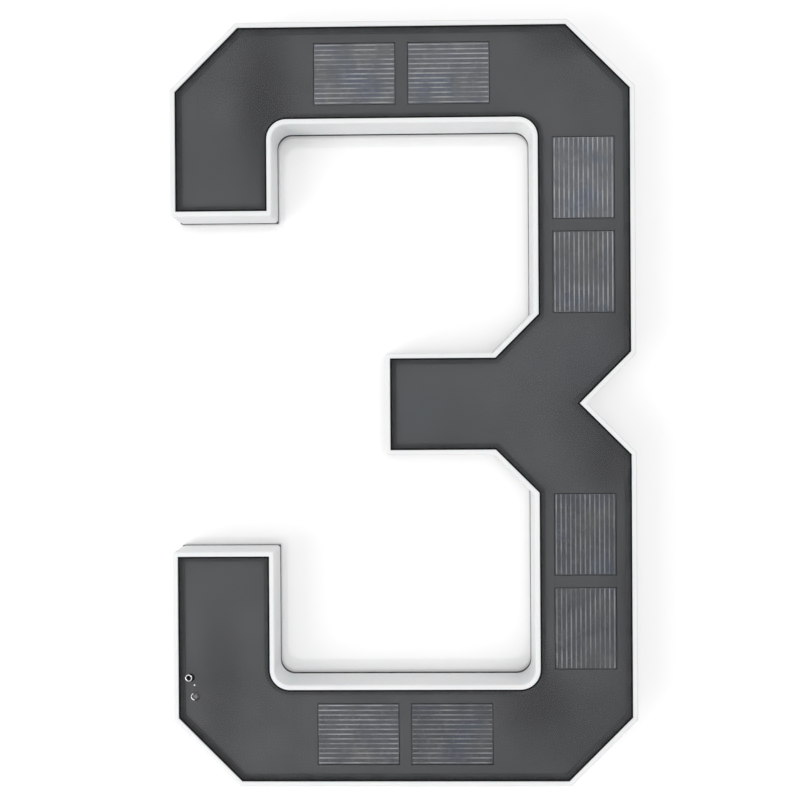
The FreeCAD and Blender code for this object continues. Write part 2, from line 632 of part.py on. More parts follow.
def door_screw_places():
    """The door's two screws, above and below the cells."""
    return [(COLUMN_X, BATTERY_HEIGHT + end * DOOR_SCREW_REACH) for end in (-1, 1)]


def holder_screw_places():
    """The holder's two screws, at opposite corners beside the door's."""
    side = HOLDER_WIDTH / 2 - HOLDER_TAB_SETBACK
    reach = HOLDER_LENGTH / 2 + HOLDER_TAB_LENGTH / 2
    return [(COLUMN_X + end * side, BATTERY_HEIGHT + end * reach) for end in (-1, 1)]


def vent_place():
    """The breather, in the upper left arm."""
    return -COLUMN_X, UPPER_ARM_END + ARM_POST_SETBACK + VENT_RISE


def cover_gasket():
    """The soft ring between the shell's rear edge and the cover."""
    ring = digit(GASKET_INSET, COVER_FRONT, SHELL_BACK)
    return ring.cut(digit(WALL, COVER_FRONT + THROUGH, SHELL_BACK - THROUGH))


def cover_screws():
    """The screws that draw the cover and the carrier together round the shell."""
    return Part.makeCompound([
        countersunk_screw(x, z, SCREW_HEAD, SCREW_SHANK, -SCREW_SINK, -SCREW_SINK - SCREW_LENGTH)
        for x, z in post_places()
    ])


def countersunk_screw(x, z, head, shank, rear, tip):
    """A screw with a 90 degree head, its flat top at the rear level."""
    neck = shank / math.cos(math.pi / 8) + NECK_STEP
    depth = (head - neck) / 2
    return cone(x, z, head, neck, rear, rear - depth).fuse(faceted(x, z, shank, rear - depth, tip))


def pan_screw(x, z, seat, shank, tip, way):
    """A small screw with a flat head on its seat, driven from the way's side."""
    head = rod(x, z, SMALL_HEAD, seat, seat + way * SMALL_HEAD_HEIGHT)
    return head.fuse(faceted(x, z, shank, seat, tip))


def battery_holder():
    """An open tray under the bay: end walls, a divider and two screw tabs."""
    floor_front = HOLDER_FLOOR - HOLDER_WALL
    tray = block(COLUMN_X, BATTERY_HEIGHT, HOLDER_WIDTH, HOLDER_LENGTH, BAY_PAD_FRONT, floor_front)
    inner_width = HOLDER_WIDTH - 2 * HOLDER_WALL
    inner_length = HOLDER_LENGTH - 2 * HOLDER_WALL
    tray = tray.cut(block(COLUMN_X, BATTERY_HEIGHT, inner_width, inner_length, BAY_PAD_FRONT + THROUGH, HOLDER_FLOOR))
    for x, z in holder_screw_places():
        tab_front = BAY_PAD_FRONT - HOLDER_TAB_THICKNESS
        tray = tray.fuse(block(x, z, HOLDER_TAB_WIDTH, HOLDER_TAB_LENGTH, BAY_PAD_FRONT, tab_front))
        tray = tray.cut(rod(x, z, SMALL_CLEARANCE, BAY_PAD_FRONT + THROUGH, tab_front - THROUGH))
    for end in (-1, 1):
        rib_z = BATTERY_HEIGHT + end * BATTERY_LENGTH / 4
        rib_top = HOLDER_FLOOR + HOLDER_RIB_HEIGHT
        tray = tray.fuse(block(COLUMN_X, rib_z, HOLDER_RIB, BATTERY_LENGTH / 6, HOLDER_FLOOR, rib_top))
    return tray.removeSplitter()


def battery_contacts():
    """Four sprung contacts, one at each end of each cell, on the holder's end walls."""
    contacts = []
    for side in (-1, 1):
        x = COLUMN_X + side * BATTERY_SPACING / 2
        for end in (-1, 1):
            wall = BATTERY_HEIGHT + end * (HOLDER_LENGTH / 2 - HOLDER_WALL)
            tip = BATTERY_HEIGHT + end * (BATTERY_LENGTH / 2 + CONTACT_TOUCH)
            if side * end > 0:
                tip += end * NUB_LENGTH
            contacts.append(leaf_contact(x, wall, tip))
    return Part.makeCompound(contacts)


def leaf_contact(x, wall, tip):
    """A strip folded back on itself: flat on the end wall, its crest touching the cell."""
    way = 1 if tip > wall else -1
    t = CONTACT_THICKNESS
    low, high, crest = HOLDER_FLOOR + FIT_GAP, BAY_PAD_FRONT - CONTACT_DROP, CELL_AXIS_Y
    inner = wall + way * t
    bend = min(abs(tip - inner), CONTACT_ROOM)
    outline = [
        (high, wall), (low, wall), (low, inner), (low + 2 * t, inner),
        (crest - 1.5, inner + way * (bend - 0.01)), (crest + 1.5, inner + way * (bend - 0.01)),
        (crest + 3.5, inner + way * bend * 0.4), (crest + 3.1, inner + way * (bend * 0.4 - t)),
        (crest + 1.3, inner + way * (bend - t)), (crest - 1.3, inner + way * (bend - t)),
        (low + 2 * t + 1.0, inner), (high, inner),
    ]
    points = [FreeCAD.Vector(x - CONTACT_WIDTH / 2, y, z) for y, z in outline]
    face = Part.Face(Part.makePolygon(points + points[:1]))
    return face.extrude(FreeCAD.Vector(CONTACT_WIDTH, 0, 0))


def battery_cell(side):
    """One rechargeable cell, upright in the bay; the two lie head to tail."""
    x = COLUMN_X + side * BATTERY_SPACING / 2
    foot = BATTERY_HEIGHT - side * BATTERY_LENGTH / 2
    up = FreeCAD.Vector(0, 0, side)
    can = Part.makeCylinder(CELL_DIAMETER / 2, BATTERY_LENGTH, FreeCAD.Vector(x, CELL_AXIS_Y, foot), up)
    head = FreeCAD.Vector(x, CELL_AXIS_Y, foot + side * BATTERY_LENGTH)
    rims = [edge for edge in can.Edges if isinstance(edge.Curve, Part.Circle)]
    can = can.makeChamfer(CELL_BEVEL, [rim for rim in rims if abs(rim.CenterOfMass.z - head.z) < 1e-6])
    return can.fuse(Part.makeCylinder(NUB_DIAMETER / 2, NUB_LENGTH, head, up))


def holder_screws():
    """The two screws that hold the tray to the cover, driven from inside."""
    seat = BAY_PAD_FRONT - HOLDER_TAB_THICKNESS
    tip = DOOR_SEAT - CORE_FLOOR - FIT_GAP
    return Part.makeCompound([pan_screw(x, z, seat, SMALL_SHANK, tip, -1) for x, z in holder_screw_places()])


def battery_door():
    """The door of the bay, sunk just below the back, countersunk for its two screws."""
    rear = -DOOR_SINK
    door = block(COLUMN_X, BATTERY_HEIGHT, DOOR_WIDTH, DOOR_LENGTH, rear, DOOR_FRONT, DOOR_RADIUS)
    door = bevel_edges(door, rear, DOOR_BEVEL)
    for x, z in door_screw_places():
        door = door.cut(countersunk_hole(x, z, SMALL_COUNTERSINK, SMALL_CLEARANCE, rear, DOOR_FRONT))
    return door


def door_gasket():
    """The soft ring that the door presses on the frame round the bay."""
    width, length = BAY_OPENING_WIDTH + 2 * SEAL_SETBACK, BAY_OPENING_LENGTH + 2 * SEAL_SETBACK
    outer = block(COLUMN_X, BATTERY_HEIGHT, width + 2 * SEAL_WIDTH, length + 2 * SEAL_WIDTH, DOOR_FRONT, DOOR_SEAT)
    return outer.cut(block(COLUMN_X, BATTERY_HEIGHT, width, length, THROUGH, DOOR_SEAT - THROUGH))


def door_screws():
    """Countersunk screws through the door into the cover's bosses."""
    rear = -DOOR_SINK - SMALL_SINK
    tip = BAY_PAD_FRONT - DOOR_SCREW_BOSS_DEPTH + BOSS_FLOOR + FIT_GAP
    return Part.makeCompound([
        countersunk_screw(x, z, SMALL_HEAD, SMALL_SHANK, rear, tip) for x, z in door_screw_places()
    ])


def vent_plug():
    """The breather: a cap sunk in the back and a stem with a fine bore, pressed into the cover."""
    x, z = vent_place()
    cap_front = -VENT_SINK - VENT_CAP_THICKNESS
    stem_end = cap_front - VENT_STEM_LENGTH
    plug = rod(x, z, VENT_CAP, -VENT_SINK, cap_front)
    plug = plug.fuse(rod(x, z, VENT_STEM, cap_front, stem_end))
    return plug.cut(rod(x, z, VENT_BORE, THROUGH, stem_end - THROUGH))


def control_board():
    """The charger and driver board, with its holes."""
    board = block(BOARD_X, BOARD_Z, BOARD_WIDTH, BOARD_LENGTH, BOARD_BACK, BOARD_FRONT)
    for x, z in standoff_places():
        board = board.cut(rod(x, z, BOARD_HOLE, THROUGH, BOARD_FRONT - THROUGH))
    return board


def board_screws():
    """The screws that hold the board to the carrier's standoffs."""
    tip = BOARD_BACK - BOARD_SCREW_LENGTH
    return Part.makeCompound([
        pan_screw(x, z, BOARD_BACK, BOARD_SCREW_SHANK, tip, 1) for x, z in standoff_places()
    ])


def board_chips():
    """Charger, driver and small parts on the board's front, as (x, z, width, length, height)."""
    parts = [
        (-1.0, 8.0, 5.0, 6.2, 1.6), (-9.0, 2.0, 3.0, 3.0, 1.1), (5.0, -2.0, 4.0, 3.6, 1.3),
        (-2.5, -1.0, 1.6, 3.0, 0.9), (0.5, -1.0, 1.6, 3.0, 0.9), (-3.0, -6.5, 3.2, 1.6, 0.8),
    ]
    return Part.makeCompound([
        block(BOARD_X + x, BOARD_Z + z, width, length, BOARD_FRONT, BOARD_FRONT - height)
        for x, z, width, length, height in parts
    ])


def board_inductor():
    """The drum choke of the driver."""
    return rod(BOARD_X + 8.5, BOARD_Z + 7.0, INDUCTOR_DIAMETER, BOARD_FRONT, BOARD_FRONT - INDUCTOR_HEIGHT)


def board_capacitors():
    """Two can capacitors on the board's front."""
    top = BOARD_FRONT - CAPACITOR_HEIGHT
    return Part.makeCompound([
        rod(BOARD_X + x, BOARD_Z + z, CAPACITOR_DIAMETER, BOARD_FRONT, top) for x, z in ((-8.5, 9.0), (-8.5, -3.5))
    ])


def wire_connectors():
    """Three two-way connectors along the board's lower edge."""
    return Part.makeCompound([
        block(x, z, CONNECTOR_WIDTH, CONNECTOR_LENGTH, BOARD_FRONT, BOARD_FRONT - CONNECTOR_HEIGHT)
        for x, z in connector_places()
    ])


def lead_terminals():
    """The two blocks on the carrier where the lamps' and the cells' wires end."""
    (lamp_x, lamp_z), (cell_x, cell_z) = terminal_places()
    top = BOARD_FRONT
    return Part.makeCompound([
        block(lamp_x, lamp_z, TERMINAL_LENGTH, TERMINAL_WIDTH, CARRIER_BACK, top),
        block(cell_x, cell_z, TERMINAL_LENGTH, TERMINAL_WIDTH, CARRIER_BACK, top),
    ])


def button_foot():
    """How far the cap's stem reaches: to the switch's plunger, its travel above the switch."""
    return BOARD_BACK + SWITCH_HEIGHT + BUTTON_TRAVEL + STEM_CLEARANCE


def button_cap():
    """The push button: a rounded cap through the cover, held by its flange."""
    x, z = BOARD_X, BUTTON_Z
    flange_back = COVER_FRONT - BUTTON_GAP
    top = -DISH_DEPTH + BUTTON_SETBACK
    cap = rod(x, z, BUTTON_DIAMETER, top, flange_back)
    cap = bevel_edges(cap, top, BUTTON_BEVEL)
    cap = cap.fuse(rod(x, z, BUTTON_FLANGE, flange_back, flange_back - BUTTON_FLANGE_THICKNESS))
    return cap.fuse(rod(x, z, BUTTON_STEM, flange_back - BUTTON_FLANGE_THICKNESS, button_foot()))


def switch_plunger():
    """The plunger that the button drives into the switch."""
    deep = BOARD_BACK + SWITCH_HEIGHT - PLUNGER_BURIED
    return rod(BOARD_X, BUTTON_Z, PLUNGER_DIAMETER, button_foot(), deep)


def switch_body():
    """The switch on the board's back, open at the middle for its plunger."""
    top = BOARD_BACK + SWITCH_HEIGHT
    body = block(BOARD_X, BUTTON_Z, SWITCH_SIZE, SWITCH_SIZE, BOARD_BACK, top)
    deep = top - PLUNGER_BURIED - BUTTON_TRAVEL - SWITCH_FLOOR_GAP
    return body.cut(rod(BOARD_X, BUTTON_Z, PLUNGER_DIAMETER + 2 * PLUNGER_GAP, top + THROUGH, deep))


def led_strip(x, z, length, upright):
    """A narrow strip board on the carrier's back."""
    size = (STRIP_WIDTH, length) if upright else (length, STRIP_WIDTH)
    return block(x, z, *size, CARRIER_BACK, STRIP_BACK)


def leds():
    """The diodes, evenly spaced along every strip."""
    diodes = []
    for _, x, z, length, upright in strip_places():
        count = int((length - LED_LENGTH) // LED_PITCH) + 1
        for index in range(count):
            along = (index - (count - 1) / 2) * LED_PITCH
            place = (x, z + along) if upright else (x + along, z)
            size = (LED_WIDTH, LED_LENGTH) if upright else (LED_LENGTH, LED_WIDTH)
            diodes.append(block(*place, *size, STRIP_BACK, STRIP_BACK + LED_HEIGHT))
    return Part.makeCompound(diodes)


def lead_points():
    """The (x, z) corners of each lead's route, from its connector on the board to its far end."""
    (battery_x, row), (lamp_x, _), (cell_x, _) = connector_places()
    (_, lamp_z), (_, cell_z) = terminal_places()
    edge = row - CONNECTOR_LENGTH / 2
    bar_run = -BAR_Z + POST_DIAMETER / 2 + LEAD_TO_POST
    column_run = COLUMN_X - LEAD_TO_COLUMN
    holder_end = BATTERY_HEIGHT - HOLDER_LENGTH / 2
    battery = [(battery_x, edge), (battery_x, bar_run), (column_run, bar_run), (column_run, holder_end)]
    lamps = [(lamp_x, edge), (lamp_x, lamp_z + TERMINAL_WIDTH / 2)]
    cells = [(cell_x, edge), (cell_x, cell_z + TERMINAL_WIDTH / 2)]
    return {"battery_lead": battery, "led_lead": lamps, "solar_lead": cells}


def build_nodes():
    """Every node of the sign, by name."""
    nodes = {
        "housing": housing(),
        "face_lens": face_lens(),
        "lens_tape": lens_tape(),
        "cell_carrier": cell_carrier(),
        "light_sensor": small_lamp(*sensor_place()),
        "status_led": small_lamp(*status_place()),
        "back_cover": back_cover(),
        "cover_gasket": cover_gasket(),
        "cover_screws": cover_screws(),
        "battery_holder": battery_holder(),
        "battery_contacts": battery_contacts(),
        "battery_cell_left": battery_cell(-1),
        "battery_cell_right": battery_cell(1),
        "holder_screws": holder_screws(),
        "battery_door": battery_door(),
        "door_gasket": door_gasket(),
        "door_screws": door_screws(),
        "vent_plug": vent_plug(),
        "control_board": control_board(),
        "board_screws": board_screws(),
        "board_chips": board_chips(),
        "board_inductor": board_inductor(),
        "board_capacitors": board_capacitors(),
        "wire_connectors": wire_connectors(),
        "lead_terminals": lead_terminals(),
        "button_cap": button_cap(),
        "switch_plunger": switch_plunger(),
        "switch_body": switch_body(),
        "leds": leds(),
    }
    for name, x, z, upright in cell_places():
        nodes[name] = solar_cell(x, z, upright)
    for name, x, z, length, upright in strip_places():
        nodes[name] = led_strip(x, z, length, upright)
    for name, route in lead_points().items():
        nodes[name] = flat_lead(route, BOARD_FRONT - CONNECTOR_HEIGHT / 2)
    return nodes


def main():
    os.makedirs("parts", exist_ok=True)
    for name, shape in build_nodes().items():
        shape.exportStep(os.path.join("parts", name + ".step"))
        box = shape.BoundBox
        print(f"{name:26s} solids {len(shape.Solids):3d} valid {shape.isValid()} volume {shape.Volume:10.1f}"
              f"  x {box.XMin:7.1f} {box.XMax:7.1f}  y {box.YMin:6.1f} {box.YMax:5.1f}  z {box.ZMin:7.1f} {box.ZMax:7.1f}")


main()
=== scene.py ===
import logging
import math
from collections.abc import Callable
from dataclasses import dataclass
from enum import Enum

import bmesh
import bpy
from mathutils import Matrix, Vector


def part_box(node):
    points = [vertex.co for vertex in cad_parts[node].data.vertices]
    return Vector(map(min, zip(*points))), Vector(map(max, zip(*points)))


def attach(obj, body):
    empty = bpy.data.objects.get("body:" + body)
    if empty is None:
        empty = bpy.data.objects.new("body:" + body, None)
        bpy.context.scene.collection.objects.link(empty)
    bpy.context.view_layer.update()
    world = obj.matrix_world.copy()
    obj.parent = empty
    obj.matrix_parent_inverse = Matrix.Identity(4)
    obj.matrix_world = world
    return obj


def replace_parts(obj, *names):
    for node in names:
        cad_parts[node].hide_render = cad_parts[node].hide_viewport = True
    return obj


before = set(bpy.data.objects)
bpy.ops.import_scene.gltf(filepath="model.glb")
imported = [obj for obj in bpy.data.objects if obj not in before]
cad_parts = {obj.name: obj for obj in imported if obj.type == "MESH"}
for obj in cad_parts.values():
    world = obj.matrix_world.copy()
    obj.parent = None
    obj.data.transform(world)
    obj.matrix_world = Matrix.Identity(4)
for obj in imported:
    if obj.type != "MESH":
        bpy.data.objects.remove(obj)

log = logging.getLogger("house_number_sign")

MM = 0.001
PER_METRE = 1000.0
SMOOTH_ANGLE = math.radians(35)
FLAT_ANGLE = math.radians(0.5)
WELD = 1e-6
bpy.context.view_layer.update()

Tree = bpy.types.NodeTree
Socket = bpy.types.NodeSocket
Piece = bpy.types.Object
Point = tuple[float, float]
Place = tuple[float, float, float]

# Lengths are in mm and colours in sRGB hex where nothing else is said. X runs right seen from the front,
# Z up, and the front faces -Y. A bar is the sign's top or bottom, a column its right side.
LENS_FRONT = -25.0
LENS_BACK = -23.0
WAFER_FRONT = -22.6
BAR_Z = 132.2
COLUMN_X = 72.3


class Body(Enum):
    """The two bodies that pieces ride on."""

    SIGN = "sign"
    BUTTON = "power_button"


class Way(Enum):
    """How a solar cell lies in its bar, as the turn of its fingers about Y in degrees."""

    LYING = 0.0
    UPRIGHT = 90.0


class PaintedShade(Enum):
    """How light each cell and its lines are painted, by name: lit and shaded copies that stand in for light
    falling off across the face.
    """

    LIGHT = "light"
    MIDDLE = "middle"
    DARK = "dark"


# Colour and nodes


def linear(tone: str) -> tuple[float, float, float, float]:
    """Turn an sRGB colour into the linear values that shaders take.

    Args:
        tone: the colour in hex, such as "#56585A".

    Returns:
        Red, green and blue from 0 to 1, and an alpha of 1.
    """
    parts = [int(tone[at : at + 2], 16) / 255 for at in (1, 3, 5)]
    red, green, blue = (p / 12.92 if p <= 0.04045 else ((p + 0.055) / 1.055) ** 2.4 for p in parts)
    return red, green, blue, 1.0


def add_node(tree: Tree, kind: str, inputs: dict | None = None, **settings: object) -> bpy.types.Node:
    """Add a node with its settings, plain values and links.

    Args:
        tree: the node tree that gets it.
        kind: the node's type name after "ShaderNode".
        inputs: for each input by name or number a value, an output, or a node for its first output.
        **settings: the node's own properties.

    Returns:
        The new node.
    """
    node = tree.nodes.new("ShaderNode" + kind)
    for name, value in settings.items():
        setattr(node, name, value)
    for socket, value in (inputs or {}).items():
        value = value.outputs[0] if isinstance(value, bpy.types.Node) else value
        if isinstance(value, Socket):
            tree.links.new(value, node.inputs[socket])
        else:
            node.inputs[socket].default_value = value
    return node


def noise(tree: Tree, place: Socket, size: float, detail: float) -> Socket:
    """Add soft noise in patches of a size in mm, with so many finer layers, and give its value."""
    return add_node(tree, "TexNoise", {"Vector": place, "Scale": PER_METRE / size, "Detail": detail}).outputs[0]


def ramp(tree: Tree, value: Socket, span: Point, ends: Point = (0.0, 1.0), curve: str = "LINEAR") -> Socket:
    """Map a value's span to other ends along one of Blender's interpolation types, and hold it outside."""
    inputs = {0: value, 1: span[0], 2: span[1], 3: ends[0], 4: ends[1]}
    return add_node(tree, "MapRange", inputs, interpolation_type=curve).outputs[0]


def blend(tree: Tree, share: Socket, below: object, above: str) -> Socket:
    """Lay a share of a colour in hex over a plain colour or an output."""
    return add_node(tree, "Mix", {0: share, 6: below, 7: linear(above)}, data_type="RGBA").outputs[2]


# Finishes


@dataclass(frozen=True)
class Finish:
    """A real surface: the patches of colour, the gloss and the fine relief that it shows.

    Attributes:
        name: the material and how its surface was made.
        slot: the record's slot that the finish stands for; not used.
        tones: two colours that its patches blend between.
        patch: size of a patch of colour.
        gloss: lowest and highest roughness.
        grain: size of a grain of the relief.
        relief: height of the relief.
        stretch: how much finer patches and grain are along X, Y and Z.
        extras: the shader's other plain values, by socket.
    """

    name: str
    slot: str
    tones: tuple[str, str]
    patch: float = 14.0
    gloss: tuple[float, float] = (0.4, 0.5)
    grain: float = 0.8
    relief: float = 0.01
    stretch: tuple[float, float, float] = (1.0, 1.0, 1.0)
    extras: tuple[tuple[str, float], ...] = ()

    def material(self) -> bpy.types.Material:
        """Build the material once, and give the same one each time.

        Returns:
            The material of this finish.
        """
        made = bpy.data.materials.get(self.name)
        if made is not None:
            return made
        made = bpy.data.materials.new(self.name)
        made.use_nodes = True
        tree = made.node_tree
        shader = tree.nodes["Principled BSDF"]
        place = add_node(tree, "TexCoord").outputs["Object"]
        place = add_node(tree, "Mapping", {"Vector": place, "Scale": self.stretch}).outputs["Vector"]
        tree.links.new(self.colour(tree, place), shader.inputs["Base Color"])
        tree.links.new(self.roughness(tree, place), shader.inputs["Roughness"])
        tree.links.new(self.normal(tree, place), shader.inputs["Normal"])
        for socket, value in self.extras:
            shader.inputs[socket].default_value = value
        return made

    def colour(self, tree: Tree, place: Socket) -> Socket:
        """Blend the two tones in soft patches, in the coordinates that all patterns read."""
        share = ramp(tree, noise(tree, place, self.patch, 3.0), (0.35, 0.65))
        return blend(tree, share, linear(self.tones[0]), self.tones[1])

    def roughness(self, tree: Tree, place: Socket) -> Socket:
        """Vary the gloss in smears three times finer than the patches of colour."""
        return ramp(tree, noise(tree, place, self.patch / 3, 2.0), (0.3, 0.7), self.gloss)

    def normal(self, tree: Tree, place: Socket) -> Socket:
        """Raise the fine relief."""
        inputs = {"Height": noise(tree, place, self.grain, 2.0), "Distance": self.relief * MM}
        return add_node(tree, "Bump", inputs).outputs[0]


@dataclass(frozen=True)
class DustAndReflectionSheet(Finish):
    """A sheet with specks of dust, and cooler smears and dark patches that are painted reflections of the face.

    Attributes:
        dust: colour of the specks.
        dust_pitch: mean distance between specks.
        speck: radius of a speck as a share of that distance.
        reflection_smear: size of a smear of painted reflection.
        reflection_tint: colour of the smears.
        dim_reflection: colour of the dark patches of painted reflection, where the face reflects less.
        dim_reflections: (x, z) of each such patch and its reach along X and Z, and how strong it is.
    """

    dust: str = "#A0A3A5"
    dust_pitch: float = 5.0
    speck: float = 0.07
    reflection_smear: float = 55.0
    reflection_tint: str = "#4E5459"
    dim_reflection: str = "#080808"
    dim_reflections: tuple[tuple[float, float, float, float, float], ...] = ()

    def colour(self, tree: Tree, place: Socket) -> Socket:
        """Lay cooler smears and dark patches of painted reflection, and then specks of dust, over the tones.

        Args:
            tree: the material's nodes.
            place: the coordinates that patterns read.

        Returns:
            The colour output.
        """
        # Cooler smears: painted reflections.
        share = ramp(tree, noise(tree, place, self.reflection_smear, 1.0), (0.5, 0.75), (0.0, 0.7))
        shade = blend(tree, share, super().colour(tree, place), self.reflection_tint)
        # Dark patches: painted reflections, where the face reflects less.
        for x, z, across, up, weight in self.dim_reflections:
            scale = (PER_METRE / across, 0.0, PER_METRE / up)
            centred = {"Vector": place, "Location": (-x / across, 0.0, -z / up), "Scale": scale}
            reach = add_node(tree, "Mapping", centred)
            far = add_node(tree, "VectorMath", {0: reach}, operation="LENGTH")
            dimmed = ramp(tree, far.outputs["Value"], (0.0, 1.0), (weight, 0.0), "SMOOTHERSTEP")
            shade = blend(tree, dimmed, shade, self.dim_reflection)
        specks = add_node(tree, "TexVoronoi", {"Vector": place, "Scale": PER_METRE / self.dust_pitch})
        dusty = ramp(tree, specks.outputs["Distance"], (0.0, self.speck), (0.7, 0.0), "SMOOTHSTEP")
        return blend(tree, dusty, shade, self.dust)


@dataclass(frozen=True)
class Wafer(Finish):
    """A laminated solar wafer with blotches of two more tints in its coating.

    Attributes:
        tints: colours of the blotches.
        blotch: size of a blotch.
        crystal: size of a crystal.
        shift: how far the blotches' pattern is moved, in m, along X and Z only for the second tint.
        rim: colour of the board that shows round the wafer.
        skin: how far behind the wafer's front the board starts and is full.
    """

    tints: tuple[str, str] = ("#56667F", "#7A7A73")
    blotch: float = 15.0
    crystal: float = 2.2
    shift: Place = (0.31, 0.17, 0.23)
    rim: str = "#434547"
    skin: Point = (0.1, 0.15)

    def colour(self, tree: Tree, place: Socket) -> Socket:
        """Blend blotches of both tints and the crystals' shades over the tones.

        Args:
            tree: the material's nodes.
            place: the coordinates that patterns read.

        Returns:
            The colour output.
        """
        shade = super().colour(tree, place)
        for index, tint in enumerate(self.tints):
            offset = (self.shift[0] * index, self.shift[1], self.shift[2] * index)
            moved = add_node(tree, "Mapping", {"Vector": place, "Location": offset})
            share = ramp(tree, noise(tree, moved, self.blotch, 2.0), (0.5, 0.72), (0.0, 0.6))
            shade = blend(tree, share, shade, tint)
        crystals = add_node(tree, "TexVoronoi", {"Vector": place, "Scale": PER_METRE / self.crystal})
        value = ramp(tree, crystals.outputs["Color"], (0.0, 1.0), (0.88, 1.12))
        shade = add_node(tree, "HueSaturation", {"Color": shade, "Value": value}).outputs[0]
        level = add_node(tree, "SeparateXYZ", {0: place}).outputs[1]
        start, full = ((WAFER_FRONT + depth) * MM for depth in self.skin)
        return blend(tree, ramp(tree, level, (start, full)), shade, self.rim)


@dataclass(frozen=True)
class Printed(Finish):
    """A board with a net of tracks under its lacquer.

    Attributes:
        track: colour of the tracks.
        net: mean distance between tracks.
        width: half width of a track as a share of that distance.
    """

    track: str = "#2F7A4A"
    net: float = 2.6
    width: float = 0.07

    def colour(self, tree: Tree, place: Socket) -> Socket:
        """Draw the tracks over the tones.

        Args:
            tree: the material's nodes.
            place: the coordinates that patterns read.

        Returns:
            The colour output.
        """
        inputs = {"Vector": place, "Scale": PER_METRE / self.net}
        kind = {"feature": "DISTANCE_TO_EDGE", "distance": "CHEBYCHEV"}
        net = add_node(tree, "TexVoronoi", inputs, **kind)
        share = ramp(tree, net, (self.width, self.width * 1.4), (1.0, 0.0))
        return blend(tree, share, super().colour(tree, place), self.track)


METAL = (("Metallic", 1.0),)
ABS = (("IOR", 1.54),)

# Moulded translucent polycarbonate: a bright, slightly milky white, satin from a polished tool.
SHELL = Finish(
    "polycarbonate_moulded_white", "white_shell", ("#F1F2F2", "#ECEEEF"), patch=30.0, gloss=(0.34, 0.46),
    grain=1.6, relief=0.006,
    extras=(("IOR", 1.58), ("Subsurface Weight", 0.12), ("Subsurface Scale", 0.0015)),
)
# Cast smoked acrylic: a dark see-through sheet, so the plate behind it reads as soft grey, with specks of dust
# and cooler smears of painted reflection.
LENS = DustAndReflectionSheet(
    "acrylic_cast_smoked", "smoked_acrylic", ("#0B0B0C", "#121213"), patch=26.0, gloss=(0.05, 0.12),
    grain=9.0, relief=0.002, extras=(("IOR", 1.49), ("Alpha", 0.1)), reflection_tint="#15181B",
)
# Black strips in the gap round the face and in the seam at the shell's foot: painted shade, the thin dark lines
# of shade in those gaps.
GAP_SHADE = Finish(
    "black_strip_painted_gap_shade", "silicone", ("#080909", "#101111"), patch=9.0, gloss=(0.35, 0.55), grain=2.0,
    extras=(("IOR", 1.41), ("Specular IOR Level", 0.2)),
)
# Foam tape, closed cell: dull charcoal with fine pores, painted lighter to make up for the shade along the face's
# edge.
FOAM = Finish(
    "foam_tape_closed_cell", "foam_tape", ("#4C4E50", "#545658"), patch=5.0, gloss=(0.8, 0.95), grain=0.7,
    relief=0.05,
)
# Moulded ABS plate, textured matt charcoal and dusty, so that nothing but the cells shows through the
# face. Its cooler smears and dark patches are painted reflections of the face.
CARRIER = DustAndReflectionSheet(
    "abs_moulded_charcoal", "black_plastic", ("#515355", "#595A5C"), patch=26.0, gloss=(0.5, 0.62),
    grain=2.2, relief=0.0015, extras=ABS, dust="#747678", reflection_tint="#555A5E",
    # Dark patches of painted reflection, where the face reflects less.
    dim_reflections=(
        (-55.0, 124.0, 19.0, 66.0, 0.55), (64.0, 146.0, 22.0, 14.0, 0.4), (90.0, 34.0, 20.0, 42.0, 0.3),
        (76.0, -8.0, 26.0, 48.0, 0.35), (84.0, -24.0, 20.0, 26.0, 0.35), (90.0, -80.0, 18.0, 50.0, 0.3),
        (52.5, -118.0, 24.0, 24.0, 0.45), (70.0, -128.0, 60.0, 36.0, 0.3), (-74.0, -108.0, 16.0, 54.0, 0.35),
    ),
)
# Moulded black ABS inside the sign: dark, even, low sheen.
BLACK_ABS = Finish(
    "abs_moulded_black", "black_plastic", ("#191A1B", "#222324"), patch=12.0, gloss=(0.42, 0.55),
    relief=0.012, extras=ABS,
)
# Silicon under laminate: slate blue with cloudy patches and small crystals under a glossy film, in
# lit and shaded copies that paint the light falling off across the face.
SILICON = {
    shade: Wafer(
        "silicon_wafer_laminated_" + shade.value, "solar_silicon", tones, patch=7.0, gloss=(0.18, 0.3), grain=3.0,
        relief=0.004, extras=(("IOR", 1.5), ("Coat Weight", 0.5), ("Coat Roughness", 0.08)), tints=tints,
    )
    for shade, tones, tints in (
        (PaintedShade.LIGHT, ("#666970", "#6E7175"), ("#5B6980", "#7C7C75")),
        (PaintedShade.MIDDLE, ("#54575C", "#5C5F63"), ("#505C70", "#6E6E69")),
        (PaintedShade.DARK, ("#484B51", "#4F5256"), ("#485469", "#62625F")),
    )
}
# Fired silver paste: pale dull lines that thin out here and there, in lit and shaded copies with the cells,
# painted shade for light falling off across the face.
SILVER = {
    shade: Finish(
        "silver_paste_fired_painted_shade_" + shade.value, "solar_silicon", tones, patch=8.0, gloss=(0.45, 0.6), grain=0.5,
        extras=(("Metallic", 0.25),),
    )
    for shade, tones in (
        (PaintedShade.LIGHT, ("#BFC0C3", "#7B7E82")),
        (PaintedShade.MIDDLE, ("#BBBCBF", "#7E8084")),
        (PaintedShade.DARK, ("#A9AAAD", "#727478")),
    )
}
# Dark epoxy of a light sensor: a small deep eye.
SENSOR = Finish(
    "epoxy_cast_dark", "sensor_resin", ("#26262A", "#303036"), patch=2.0, gloss=(0.05, 0.12), grain=2.0,
    relief=0.002, extras=(("IOR", 1.55), ("Coat Weight", 1.0)),
)
